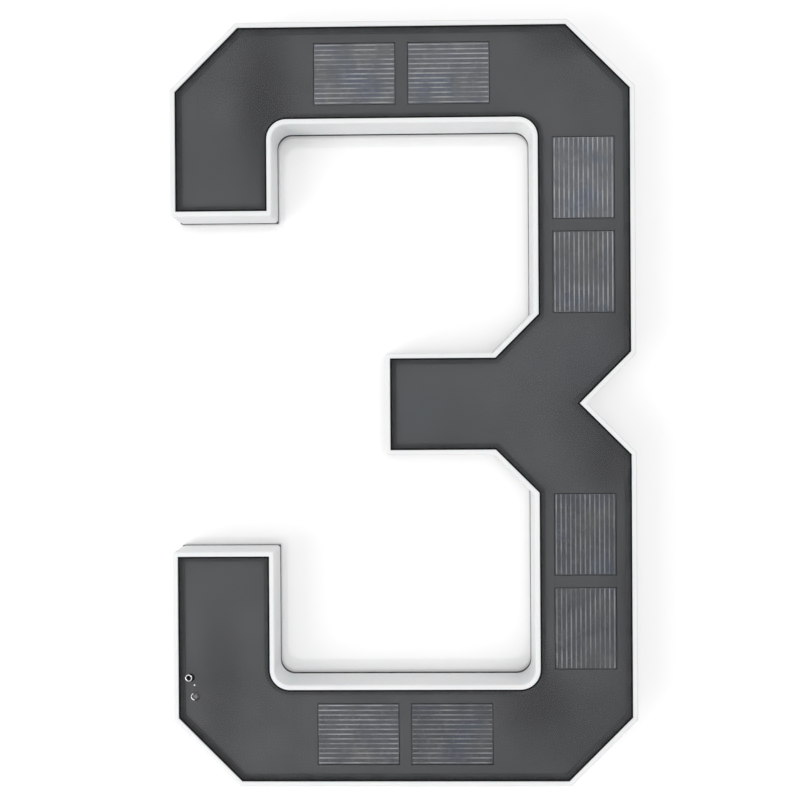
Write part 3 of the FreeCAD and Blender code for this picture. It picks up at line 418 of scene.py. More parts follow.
# Milky epoxy of a small lamp: pale and glossy.
LAMP = Finish(
    "epoxy_cast_milky", "lamp_resin", ("#8E8F90", "#9A9B9B"), patch=2.0, gloss=(0.08, 0.16), grain=2.0,
    relief=0.002, extras=(("IOR", 1.55),),
)
# Turned and polished stainless rings round sensor and lamp, and the pin: patches from white to grey paint their
# glints broken, a painted highlight.
BRIGHT = Finish(
    "stainless_steel_polished_painted_glints", "stainless_steel", ("#FFFFFF", "#9FA1A3"), patch=0.8, gloss=(0.1, 0.22),
    relief=0.02, extras=METAL,
)
# Moulded ABS back, spark-eroded: dark grey with an even fine texture. The real grain of about
# 0.1 mm is drawn at 0.7 mm, because it would not show.
COVER = Finish(
    "abs_spark_eroded_dark", "dark_cover", ("#303234", "#393B3D"), patch=24.0, gloss=(0.48, 0.6), grain=0.7,
    relief=0.03, extras=ABS,
)
# The battery door from the same plastic and tool finish, a little smoother and darker.
DOOR = Finish(
    "abs_spark_eroded_door", "dark_door", ("#2B2C2E", "#333537"), patch=18.0, gloss=(0.42, 0.54), grain=0.9,
    relief=0.025, extras=ABS,
)
# Moulded silicone gaskets: matt, slightly dusty black.
SILICONE = Finish(
    "silicone_moulded_black", "silicone", ("#17181A", "#222325"), patch=6.0, gloss=(0.55, 0.7), grain=1.2,
    extras=(("IOR", 1.41),),
)
# Cold-headed stainless screws: fine turning marks round the head.
STAINLESS = Finish(
    "stainless_steel_turned", "stainless_steel", ("#C9C8C4", "#9C9B98"), patch=1.6, gloss=(0.22, 0.4),
    grain=0.35, relief=0.006, stretch=(1.0, 4.0, 1.0), extras=METAL,
)
# Rolled spring bronze, nickel plated: warm metal with lines along the strip.
SPRING = Finish(
    "bronze_rolled_nickel", "spring_metal", ("#D5CDB9", "#BDB49F"), patch=3.0, gloss=(0.2, 0.34), grain=0.4,
    relief=0.006, stretch=(6.0, 1.0, 1.0), extras=METAL,
)
# Shrink-wrapped cell: glossy green film with long faint creases.
WRAP = Finish(
    "pvc_shrink_film_green", "battery_wrap", ("#1F6B43", "#2C8253"), patch=16.0, gloss=(0.18, 0.3), grain=3.0,
    relief=0.02, stretch=(4.0, 4.0, 1.0), extras=(("IOR", 1.53), ("Coat Weight", 0.6)),
)
# Moulded nylon breather: black, fairly matt.
VENT = Finish(
    "nylon_moulded_black", "vent_plastic", ("#1B1C1D", "#252627"), patch=4.0, gloss=(0.45, 0.58), grain=0.6,
    relief=0.02, extras=(("IOR", 1.53),),
)
# Lacquered glass epoxy board: deep green with tracks showing through.
BOARD = Printed(
    "glass_epoxy_lacquered_green", "circuit_board", ("#0F4A29", "#14532F"), patch=9.0, gloss=(0.15, 0.25),
    grain=0.5, extras=(("IOR", 1.55), ("Coat Weight", 0.7)),
)
# White lacquered strip board: bright so that it throws the light out, with faint grey tracks.
STRIP = Printed(
    "glass_epoxy_lacquered_white", "strip_board", ("#E4E5E4", "#DCDEDE"), patch=9.0, gloss=(0.25, 0.35),
    grain=0.6, relief=0.008, track="#C6C9C9", net=3.4,
)
# Moulded epoxy of chips: black with a fine matt texture.
CHIP = Finish(
    "epoxy_moulded_black", "chip_resin", ("#17181A", "#202124"), patch=2.5, gloss=(0.5, 0.65), grain=0.3,
)
# Pressed and sintered ferrite: dark grey with fine pits.
FERRITE = Finish(
    "ferrite_sintered", "ferrite", ("#2E2D2C", "#3B3A38"), patch=2.0, gloss=(0.6, 0.75), grain=0.4, relief=0.03,
)
# Drawn aluminium cans: pale metal with fine upright draw lines.
CAN = Finish(
    "aluminium_drawn", "can_aluminium", ("#D2D3D5", "#B9BBBE"), patch=3.0, gloss=(0.25, 0.4), grain=0.3,
    relief=0.006, stretch=(1.0, 0.2, 1.0), extras=METAL,
)
# Moulded nylon connectors: warm off-white, waxy.
NYLON = Finish(
    "nylon_moulded_natural", "connector_nylon", ("#DDD8C8", "#D2CCB9"), patch=4.0, gloss=(0.35, 0.5), grain=0.6,
    extras=(("Subsurface Weight", 0.2), ("Subsurface Scale", 0.0008)),
)
# Moulded rubber cap: soft grey, powdery, with a fine pimpled skin.
RUBBER = Finish(
    "rubber_moulded_grey", "button_rubber", ("#6A6C6E", "#747678"), patch=3.0, gloss=(0.6, 0.75), grain=0.45,
    relief=0.02, extras=(("Sheen Weight", 0.2),),
)
# White pad print on the cap: opaque ink with a slightly uneven edge of gloss.
INK = Finish(
    "ink_pad_printed_white", "button_rubber", ("#E2E3E3", "#D6D8D8"), patch=1.5, gloss=(0.4, 0.55), grain=0.4,
    relief=0.008,
)
# Moulded switch body: black, semi-gloss.
SWITCH = Finish(
    "pbt_moulded_black", "switch_plastic", ("#202123", "#2A2B2D"), patch=4.0, gloss=(0.35, 0.5), grain=0.5,
)
# Lamp packages: pale plastic frame with the yellow phosphor that fills it.
DIODE = Finish(
    "led_package_phosphor", "led_package", ("#E9DFA0", "#F0E9C4"), patch=1.8, gloss=(0.2, 0.35), grain=0.5,
    relief=0.008, extras=(("IOR", 1.5),),
)
# Extruded PVC jackets: smooth with faint drag lines.
RED_PVC, BLACK_PVC = (
    Finish(
        "pvc_extruded_" + name, "wire_" + name, tones, patch=5.0, gloss=(0.3, 0.45), grain=0.7,
        extras=(("IOR", 1.53),),
    )
    for name, tones in (("red", ("#A3211F", "#B32A26")), ("black", ("#1D1D1F", "#28282A")))
)


# Bench: how new pieces are handled


def clear_selection() -> None:
    """Leave edit mode and deselect everything."""
    if bpy.context.object is not None and bpy.context.object.mode == "EDIT":
        bpy.ops.object.mode_set(mode="OBJECT")
    bpy.ops.object.select_all(action="DESELECT")


def pick_faces(test: Callable[[bmesh.types.BMFace], bool]) -> None:
    """In edit mode, select only the faces that the test picks by their place or normal.

    Args:
        test: says whether a face is wanted.
    """
    bpy.ops.mesh.select_mode(type="FACE")
    bpy.ops.mesh.select_all(action="DESELECT")
    mesh = bmesh.from_edit_mesh(bpy.context.object.data)
    mesh.normal_update()
    for face in mesh.faces:
        face.select_set(test(face))
    bmesh.update_edit_mesh(bpy.context.object.data)


def pick_all() -> None:
    """In edit mode, select everything."""
    bpy.ops.mesh.select_all(action="SELECT")


def faces_front(face: bmesh.types.BMFace) -> bool:
    """Say whether a face looks to the front."""
    return face.normal.y < -0.99


def faces_rear(face: bmesh.types.BMFace) -> bool:
    """Say whether a face looks to the rear."""
    return face.normal.y > 0.99


def to_edit_mode() -> None:
    """Put the active object's place into its mesh and start to edit it."""
    bpy.ops.object.transform_apply()
    bpy.ops.object.mode_set(mode="EDIT")


def leave_edit_mode() -> Piece:
    """Leave edit mode, and give the active object."""
    bpy.ops.object.mode_set(mode="OBJECT")
    return bpy.context.object


def edit_block(middle: Place, size: Place, turn: float = 0.0) -> None:
    """Add a block at its size and place, open for editing.

    Args:
        middle: its place.
        size: along X, Y and Z.
        turn: turn about Y, in radians.
    """
    clear_selection()
    middle, size = ([length * MM for length in each] for each in (middle, size))
    bpy.ops.mesh.primitive_cube_add(size=1, location=middle, scale=size, rotation=(0, turn, 0))
    to_edit_mode()


def push(distance: float) -> None:
    """Extrude what is selected along Y, by a distance in mm."""
    bpy.ops.mesh.extrude_region_move(TRANSFORM_OT_translate={"value": (0, distance * MM, 0)})


def join(first: Piece, others: list[Piece]) -> Piece:
    """Join pieces into the first one.

    Args:
        first: the piece that takes the others in.
        others: the rest.

    Returns:
        The first piece, active in object mode.
    """
    clear_selection()
    for piece in (*others, first):
        piece.select_set(True)
    bpy.context.view_layer.objects.active = first
    bpy.ops.object.join()
    return first


def outline_face() -> Piece:
    """Copy the lens and leave one flat face of it, in its outline and at the level of its back.

    Returns:
        The new object, active and in edit mode with the face selected.
    """
    clear_selection()
    plate = bpy.data.objects.new("outline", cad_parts["face_lens"].data.copy())
    bpy.context.scene.collection.objects.link(plate)
    bpy.context.view_layer.objects.active = plate
    plate.select_set(True)
    bpy.ops.object.mode_set(mode="EDIT")
    pick_all()
    bpy.ops.mesh.remove_doubles(threshold=WELD)
    pick_faces(lambda face: not faces_rear(face))
    bpy.ops.mesh.delete(type="FACE")
    pick_all()
    bpy.ops.mesh.dissolve_limited(angle_limit=FLAT_ANGLE)
    return plate


def apply_modifier(kind: str, **settings: object) -> None:
    """Add a modifier to the active object and apply it.

    Args:
        kind: the modifier's type name.
        **settings: its properties.
    """
    modifier = bpy.context.object.modifiers.new(kind.lower(), kind)
    for name, value in settings.items():
        setattr(modifier, name, value)
    bpy.ops.object.modifier_apply(modifier=modifier.name)


def settle(name: str, finish: Finish, body: Body = Body.SIGN) -> Piece:
    """Finish the active object as a piece: place in its mesh, smoothed, dressed and riding.

    Args:
        name: the piece's name.
        finish: its surface.
        body: what it moves with.

    Returns:
        The piece.
    """
    piece = bpy.context.object
    if piece.mode == "EDIT":
        bpy.ops.object.mode_set(mode="OBJECT")
    bpy.ops.object.transform_apply()
    bpy.ops.object.shade_smooth_by_angle(angle=SMOOTH_ANGLE)
    return adopt(piece, name, finish, body)


def adopt(piece: Piece, name: str, finish: Finish, body: Body = Body.SIGN) -> Piece:
    """Name, dress and ride a piece whose mesh is done.

    Args:
        piece: the object.
        name: its name.
        finish: its surface.
        body: what it moves with.

    Returns:
        The piece.
    """
    piece.name = piece.data.name = name
    piece.data.materials.clear()
    piece.data.materials.append(finish.material())
    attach(piece, body.value)
    log.info("%s: %d faces, %s", name, len(piece.data.polygons), finish.name)
    return piece


def placed_copy(piece: Piece, x: float, z: float, turn: float = 0.0) -> Piece:
    """Copy a piece that was modelled on the Y axis, with its own mesh, to a place.

    Args:
        piece: the first piece.
        x: place in mm.
        z: place in mm.
        turn: turn about Y in degrees.

    Returns:
        The copy.
    """
    copy = piece.copy()
    copy.data = piece.data.copy()
    copy.data.transform(Matrix.Translation((x * MM, 0, z * MM)) @ Matrix.Rotation(math.radians(turn), 4, "Y"))
    bpy.context.scene.collection.objects.link(copy)
    return copy


def dress(finishes: dict[str, Finish]) -> None:
    """Give CAD nodes their materials.

    Args:
        finishes: the finish of each node by name.
    """
    for name, finish in finishes.items():
        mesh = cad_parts[name].data
        if mesh.materials:
            for index in range(len(mesh.materials)):
                mesh.materials[index] = finish.material()
        else:
            mesh.materials.append(finish.material())
        log.info("%s: %s", name, finish.name)


# Sub-assemblies


@dataclass
class Shell:
    """The white shell, its smoked face, and the black strip of painted shade in the gap round the face.

    Attributes:
        gap: between lens and rim.
        shade_overlap: how far the strip of painted gap shade reaches over the lens's bevel.
        shade_front: level of that strip's front.
        shade_depth: its thickness.
        tape: width of the foam tape, so wide that it closes the gap beside the plate.
        tape_front: level of its front.
        tape_depth: its thickness.
        outline: from the lens's edge to where the seam between shell and cover starts.
        seam: thickness of the black strip that fills that seam flush with the shell, painted shade in the seam.
        seam_front: level of its front.
        seam_depth: its length along Y.
    """

    gap: float = 0.11
    shade_overlap: float = 0.6
    shade_front: float = -24.93
    shade_depth: float = 0.12
    tape: float = 2.26
    tape_front: float = -22.99
    tape_depth: float = 0.28
    outline: float = 1.99
    seam: float = 0.12
    seam_front: float = -3.0
    seam_depth: float = 2.95

    def strip(self, inner: float, outer: float, front: float, depth: float) -> None:
        """Model a strip that follows the lens's edge round the sign, left active for settle.

        Args:
            inner: how far outside the lens's edge the strip starts.
            outer: how far outside it the strip ends.
            front: level of its front.
            depth: its thickness.
        """
        outline_face()
        push(-depth)
        pick_faces(lambda face: faces_front(face) or faces_rear(face))
        bpy.ops.mesh.delete(type="ONLY_FACE")
        pick_all()
        bpy.ops.mesh.normals_make_consistent()
        bpy.ops.transform.shrink_fatten(value=inner * MM, use_even_offset=True)
        bpy.ops.transform.translate(value=(0, (front + depth - LENS_BACK) * MM, 0))
        leave_edit_mode()
        apply_modifier("SOLIDIFY", thickness=(outer - inner) * MM, offset=1.0, use_even_offset=True)

    def build(self) -> None:
        """Dress the nodes, and model the strip of painted shade in the gap round the face, the tape, and the
        strip of painted shade in the seam, from the lens's own outline.
        """
        dress({"housing": SHELL, "face_lens": LENS})
        # A black strip in the gap round the face: painted shade.
        self.strip(-self.shade_overlap, self.gap, self.shade_front, self.shade_depth)
        settle("edge_gap_shade", GAP_SHADE)
        # The foam tape's grey is painted light along the face's edge.
        self.strip(-self.tape, 0.0, self.tape_front, self.tape_depth)
        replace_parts(settle("face_tape", FOAM), "lens_tape")
        # A black strip in the seam at the shell's foot: painted shade.
        self.strip(self.outline, self.outline + self.seam, self.seam_front, self.seam_depth)
        settle("back_seam_shade", GAP_SHADE)


@dataclass
class CellArray:
    """The plate behind the face, its eight solar cells and their printed fingers.

    Attributes:
        fingers: lines on a cell.
        pitch: between them.
        length: of a line.
        width: of a line.
        height: above the wafer.
        sunk: how far a line starts inside the wafer.
        slope: how much narrower a line is at its top, as a share of its height, on each side.
        edge_width: of the thin bars that join the lines' ends.
        soft_edge: radius of the laminate's edge.
        half_pitch: of a pair of cells from its middle.
        column: height of a column pair's middle.
    """

    fingers: int = 13
    pitch: float = 1.915
    length: float = 31.9
    width: float = 0.48
    height: float = 0.05
    sunk: float = 0.01
    slope: float = 0.6
    edge_width: float = 0.1
    soft_edge: float = 0.08
    half_pitch: float = 18.8
    column: float = 71.2

    def places(self) -> dict[str, tuple[float, float, Way, PaintedShade]]:
        """Middle of each cell, how it lies and its painted shade, by the last words of its node's name."""
        near, far = self.column - self.half_pitch, self.column + self.half_pitch
        return {
            "top_left": (-self.half_pitch, BAR_Z, Way.LYING, PaintedShade.LIGHT),
            "top_right": (self.half_pitch, BAR_Z, Way.LYING, PaintedShade.LIGHT),
            "upper_outer": (COLUMN_X, far, Way.UPRIGHT, PaintedShade.LIGHT),
            "upper_inner": (COLUMN_X, near, Way.UPRIGHT, PaintedShade.MIDDLE),
            "lower_inner": (COLUMN_X, -near, Way.UPRIGHT, PaintedShade.DARK),
            "lower_outer": (COLUMN_X, -far, Way.UPRIGHT, PaintedShade.DARK),
            "bottom_left": (-self.half_pitch, -BAR_Z, Way.LYING, PaintedShade.MIDDLE),
            "bottom_right": (self.half_pitch, -BAR_Z, Way.LYING, PaintedShade.DARK),
        }

    def wafer(self) -> Piece:
        """Model one cell on the Y axis: its board and the wafer under a laminate with a soft edge.

        Returns:
            The cell, not yet a piece.
        """
        low, high = (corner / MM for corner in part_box("solar_cell_top_left"))
        edit_block((0.0, (low.y + high.y) / 2, 0.0), high - low)
        pick_faces(faces_front)
        bpy.ops.mesh.bevel(offset=self.soft_edge * MM, segments=3, affect="EDGES")
        pick_faces(faces_front)
        bpy.ops.mesh.inset(thickness=self.soft_edge * MM)
        cell = leave_edit_mode()
        bpy.ops.object.shade_smooth_by_angle(angle=SMOOTH_ANGLE)
        return cell

    def finger_grid(self) -> Piece:
        """Model the grid of lines of one cell on the Y axis.

        Returns:
            The grid, not yet a piece.
        """
        middle = WAFER_FRONT + self.sunk - (self.height + self.sunk) / 2
        along = (self.fingers - 1) * self.pitch
        grid = self.line(self.length, self.width, (0.0, middle, -along / 2))
        step = {"use_relative_offset": False, "use_constant_offset": True}
        apply_modifier("ARRAY", count=self.fingers, constant_offset_displace=(0, 0, self.pitch * MM), **step)
        ends = [(end * self.length / 2, middle + self.sunk, 0.0) for end in (-1, 1)]
        return join(grid, [self.line(self.edge_width, along, end) for end in ends])

    def line(self, length: float, width: float, middle: Place) -> Piece:
        """Model one printed line, narrower at its top.

        Args:
            length: along X.
            width: along Z.
            middle: its place.

        Returns:
            The line.
        """
        edit_block(middle, (length, self.height + self.sunk, width))
        pick_faces(faces_front)
        less = 2 * self.height * self.slope
        size = ((length - less) / length, 1, (width - less) / width)
        bpy.ops.transform.resize(value=size, center_override=[at * MM for at in middle])
        return leave_edit_mode()

    def build(self) -> None:
        """Dress the plate, and lay the cells with their grids of lines."""
        dress({"cell_carrier": CARRIER})
        wafer, grid = self.wafer(), self.finger_grid()
        for name, (x, z, way, shade) in self.places().items():
            # Each cell and its lines take the lit or shaded copy for their place: painted shade.
            cell = adopt(placed_copy(wafer, x, z, way.value), "cell_" + name, SILICON[shade])
            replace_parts(cell, "solar_cell_" + name)
            adopt(placed_copy(grid, x, z, way.value), "cell_fingers_" + name, SILVER[shade])
        bpy.data.objects.remove(wafer)
        bpy.data.objects.remove(grid)


@dataclass
class Signals:
    """The light sensor and the status lamp under the face, and the bright rims set into the face round them. The
    lamp's open rim and the pin are painted glints, bright metal in the shape of a highlight.

    Attributes:
        rims: (x, z) of the rim in the face over the sensor and of the one over the lamp.
        pin_place: (x, z) of the small pin between them, a painted glint.
        ring: outer and inner radius of the sensor's rim.
        arc: radius of the lamp's open rim.
        run: where that rim starts and how far it runs, in degrees.
        wire: thickness of the rims.
        sunk: how far their middle lies behind the lens's front.
        sides: of their section.
        steps: of each rim along its run.
        pin: radius, length and rounded edge of the pin.
    """

    rims: tuple[Point, Point] = ((-86.6, -109.05), (-84.3, -116.5))
    pin_place: Point = (-84.2, -111.9)
    ring: Point = (1.55, 0.85)
    arc: float = 1.25
    run: Point = (112.0, 158.0)
    wire: float = 0.5
    sunk: float = 0.05
    sides: int = 8
    steps: int = 36
    pin: Place = (0.36, 0.3, 0.12)

    def round_rim(self, name: str, place: Point, radius: float, start: float, sweep: float) -> None:
        """Spin a small section about Y into a rim, closed or open.

        Args:
            name: the piece's name.
            place: middle of the rim.
            radius: of its middle line.
            start: where it starts, in degrees from +X towards +Z.
            sweep: how far it runs, in degrees.
        """
        middle = Vector((place[0], LENS_FRONT + self.sunk, place[1])) * MM
        turn = math.radians(start)
        arm = Vector((math.cos(turn), 0, math.sin(turn))) * radius * MM
        clear_selection()
        bpy.ops.mesh.primitive_circle_add(
            vertices=self.sides,
            radius=self.wire / 2 * MM,
            fill_type="NGON",
            location=middle + arm,
            rotation=(0, -turn, 0),
        )
        to_edit_mode()
        pick_all()
        closed = sweep >= 360
        if closed:
            bpy.ops.mesh.delete(type="ONLY_FACE")
            pick_all()
        angle = math.radians(sweep)
        bpy.ops.mesh.spin(steps=self.steps, angle=angle, center=middle, axis=(0, 1, 0), use_auto_merge=closed)
        pick_all()
        bpy.ops.mesh.remove_doubles(threshold=WELD)
        if not closed:
            bpy.ops.mesh.select_mode(type="EDGE")
            bpy.ops.mesh.select_all(action="DESELECT")
            bpy.ops.mesh.select_non_manifold()
            bpy.ops.mesh.edge_face_add()
            pick_all()
        bpy.ops.mesh.normals_make_consistent()
        settle(name, BRIGHT)

    def build(self) -> None:
        """Dress both lamps' bodies and model their rims and the pin between them."""
        dress({"light_sensor": SENSOR, "status_led": LAMP})
        outer, inner = self.ring
        self.round_rim("sensor_rim", self.rims[0], (outer + inner) / 2, 0.0, 360.0)
        # The lamp's open rim is a painted glint: it runs only where the glint falls.
        self.round_rim("lamp_glint_arc", self.rims[1], self.arc, *self.run)
        # The pin is a painted glint.
        x, z = self.pin_place
        radius, length, edge = self.pin
        clear_selection()
        bpy.ops.mesh.primitive_cylinder_add(
            vertices=20,
            radius=radius * MM,
            depth=length * MM,
            location=(x * MM, LENS_FRONT * MM, z * MM),
            rotation=(-math.pi / 2, 0, 0),
        )
        to_edit_mode()
        pick_faces(faces_front)
        bpy.ops.mesh.bevel(offset=edge * MM, segments=3, affect="EDGES")
        settle("face_glint_pin", BRIGHT)


@dataclass
class Screws:
    """Countersunk screws with a cross recess, modelled once for each size and copied.

    Attributes:
        head: diameter of the head.
        neck: diameter under the head.
        shank: diameter of the thread's crests.
        rear: level of the head's top.
        tip: level of the screw's end.
        recess: width across the cross.
        slot: width of one arm.
        pitch: of the thread.
        groove: how much thinner the thread's root is than its crests.
        land: height of the head's straight edge.
        edge: size of its rounded edge.
        point: diameter of the blunt end, as a share of the root.
        sides: of the head and the thread.
        turns: turn of the first screw, and of each next one beside the last, in degrees.
    """

    head: float
    neck: float
    shank: float
    rear: float
    tip: float
    recess: float
    slot: float
    pitch: float
    groove: float = 0.35
    land: float = 0.12
    edge: float = 0.08
    point: float = 0.35
    sides: int = 36
    turns: Point = (11.0, 37.0)

    def cross(self) -> Piece:
        """Model the tapered cross that cuts the recess.

        Returns:
            The cutter.
        """
        depth = self.recess / 2
        narrow, short = 0.85, 0.3
        arms = []
        for width, length, taper in (
            (self.slot, self.recess, (narrow, 1, short)),
            (self.recess, self.slot, (short, 1, narrow)),
        ):
            edit_block((0.0, self.rear, 0.0), (width, 2 * depth, length))
            pick_faces(faces_front)
            bpy.ops.transform.resize(value=taper, center_override=(0, (self.rear - depth) * MM, 0))
            arms.append(leave_edit_mode())
        return join(arms[0], arms[1:])

    def model(self) -> Piece:
        """Model one screw on the Y axis, its head at the rear.

        Returns:
            The screw, not yet a piece.
        """
        cutter = self.cross()
        cone = (self.head - self.neck) / 2
        under = self.rear - self.land - cone
        clear_selection()
        bpy.ops.mesh.primitive_cone_add(
            vertices=self.sides,
            radius1=self.neck / 2 * MM,
            radius2=self.head / 2 * MM,
            depth=cone * MM,
            location=(0, (under + cone / 2) * MM, 0),
            rotation=(-math.pi / 2, 0, 0),
        )
        to_edit_mode()
        pick_faces(faces_rear)
        push(self.land)
        bpy.ops.mesh.bevel(offset=self.edge * MM, segments=2, affect="EDGES")
        pick_faces(faces_front)
        run = under - self.tip - self.shank / 2
        grow = self.shank / (self.shank - self.groove)
        for _ in range(int(run / self.pitch)):
            for size in (grow, 1 / grow):
                push(-self.pitch / 2)
                bpy.ops.transform.resize(value=(size, 1, size), center_override=(0, 0, 0))
        push(-self.shank / 2)
        bpy.ops.transform.resize(value=(self.point, 1, self.point), center_override=(0, 0, 0))
        screw = leave_edit_mode()
        apply_modifier("BOOLEAN", operation="DIFFERENCE", object=cutter, solver="EXACT", use_self=True)
        bpy.data.objects.remove(cutter)
        bpy.ops.object.shade_smooth_by_angle(angle=SMOOTH_ANGLE)
        return screw

    def build(self, node: str, places: list[Point]) -> None:
        """Copy the screw to its places, to stand for the CAD node that holds them.

        Args:
            node: the CAD node.
            places: the (x, z) of each screw.
        """
        first = self.model()
        start, step = self.turns
        for index, (x, z) in enumerate(places):
            screw = placed_copy(first, x, z, start + step * index)
            adopt(screw, f"{node}_{index + 1}", STAINLESS)
            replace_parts(screw, node)
        bpy.data.objects.remove(first)


@dataclass
class Back:
    """The dark cover with its gasket, screws and breather.

    Attributes:
        bar_post: from the middle to the screws of the top and bottom bars.
        arm_posts: heights of the arms' screws.
        middle_post: along the middle bar.
        column_post: height of the column's screw.
    """

    bar_post: float = 56.0
    arm_posts: Point = (84.4, -67.5)
    middle_post: float = 34.0
    column_post: float = -71.2

    def build(self) -> None:
        """Dress the nodes and set the screws."""
        dress({"back_cover": COVER, "cover_gasket": SILICONE, "vent_plug": VENT})
        places = [(side * self.bar_post, end * BAR_Z) for side in (-1, 1) for end in (-1, 1)]
        places += [(-COLUMN_X, height) for height in self.arm_posts]
        places += [(self.middle_post, 0.0), (COLUMN_X, self.column_post)]
        screw = Screws(head=5.6, neck=2.5, shank=2.6, rear=-0.15, tip=-11.1, recess=3.0, slot=0.8, pitch=0.9)
        screw.build("cover_screws", places)


@dataclass
class BatteryBay:
    """The battery door and what lies under it."""

    def build(self) -> None:
        """Dress the nodes and set the door's screws."""
        dress({
            "battery_door": DOOR, "door_gasket": SILICONE, "battery_holder": BLACK_ABS,
            "battery_contacts": SPRING, "battery_cell_left": WRAP, "battery_cell_right": WRAP,
            "holder_screws": STAINLESS,
        })
        low, high = (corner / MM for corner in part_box("door_screws"))
        screw = Screws(head=3.8, neck=2.0, shank=2.1, rear=high.y, tip=low.y, recess=2.1, slot=0.6, pitch=0.8)
        reach = (high.z - low.z - screw.head) / 2
        middle = (high.z + low.z) / 2
        screw.build("door_screws", [(COLUMN_X, middle + end * reach) for end in (-1, 1)])


@dataclass
class Controls:
    """The control board with its parts, and the leads that meet on it."""

    def build(self) -> None:
        """Dress the nodes."""
        dress({
            "control_board": BOARD, "board_screws": STAINLESS, "board_chips": CHIP, "board_inductor": FERRITE,
            "board_capacitors": CAN, "wire_connectors": NYLON, "lead_terminals": NYLON, "switch_body": SWITCH,
            "battery_lead": RED_PVC, "led_lead": RED_PVC, "solar_lead": BLACK_PVC,
        })


@dataclass
class Glow:
    """The strips of lamps that light the shell."""

    def build(self) -> None:
        """Dress the nodes."""
        strips = [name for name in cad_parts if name.startswith("led_strip_")]
        dress({name: STRIP for name in strips})
        dress({"leds": DIODE})


@dataclass
class PowerButton:
    """The rubber cap on the back and the common sign for power printed on it.

    Attributes:
        place: (x, z) of the cap.
        level: middle of the print, just above the cap's top.
        ink: thickness of the print.
        radius: of the open ring.
        stroke: width of its line.
        opening: of the ring at its top, in degrees.
        bar: middle and length of the upright bar, as shares of the ring's radius.
        edge: size of the bar's rounded edge and of the slice that the ring is spun from.
    """

    place: Point = (-72.3, -88.0)
    level: float = -0.475
    ink: float = 0.07
    radius: float = 1.9
    stroke: float = 0.5
    opening: float = 70.0
    bar: Point = (0.95, 1.1)
    edge: float = 0.02

    def build(self) -> None:
        """Dress cap and plunger, and print the sign."""
        dress({"button_cap": RUBBER, "switch_plunger": SWITCH})
        x, z = self.place
        start = math.radians(90 + self.opening / 2)
        first = (x + self.radius * math.cos(start), self.level, z + self.radius * math.sin(start))
        edit_block(first, (self.stroke, self.ink, self.edge), -start)
        side = Vector((-math.sin(start), 0, math.cos(start)))
        pick_faces(lambda face: face.normal.dot(side) > 0.9)
        middle = (x * MM, self.level * MM, z * MM)
        bpy.ops.mesh.spin(steps=40, angle=math.radians(360 - self.opening), center=middle, axis=(0, 1, 0))
        pick_all()
        bpy.ops.mesh.remove_doubles(threshold=WELD / 10)
        bpy.ops.mesh.normals_make_consistent()
        ring = leave_edit_mode()
        rise, length = (share * self.radius for share in self.bar)
        edit_block((x, self.level, z + rise), (self.stroke, self.ink, length))
        pick_all()
        bpy.ops.mesh.bevel(offset=self.edge * MM, segments=2, affect="EDGES")
        join(bpy.context.object, [ring])
        settle("power_mark", INK, Body.BUTTON)


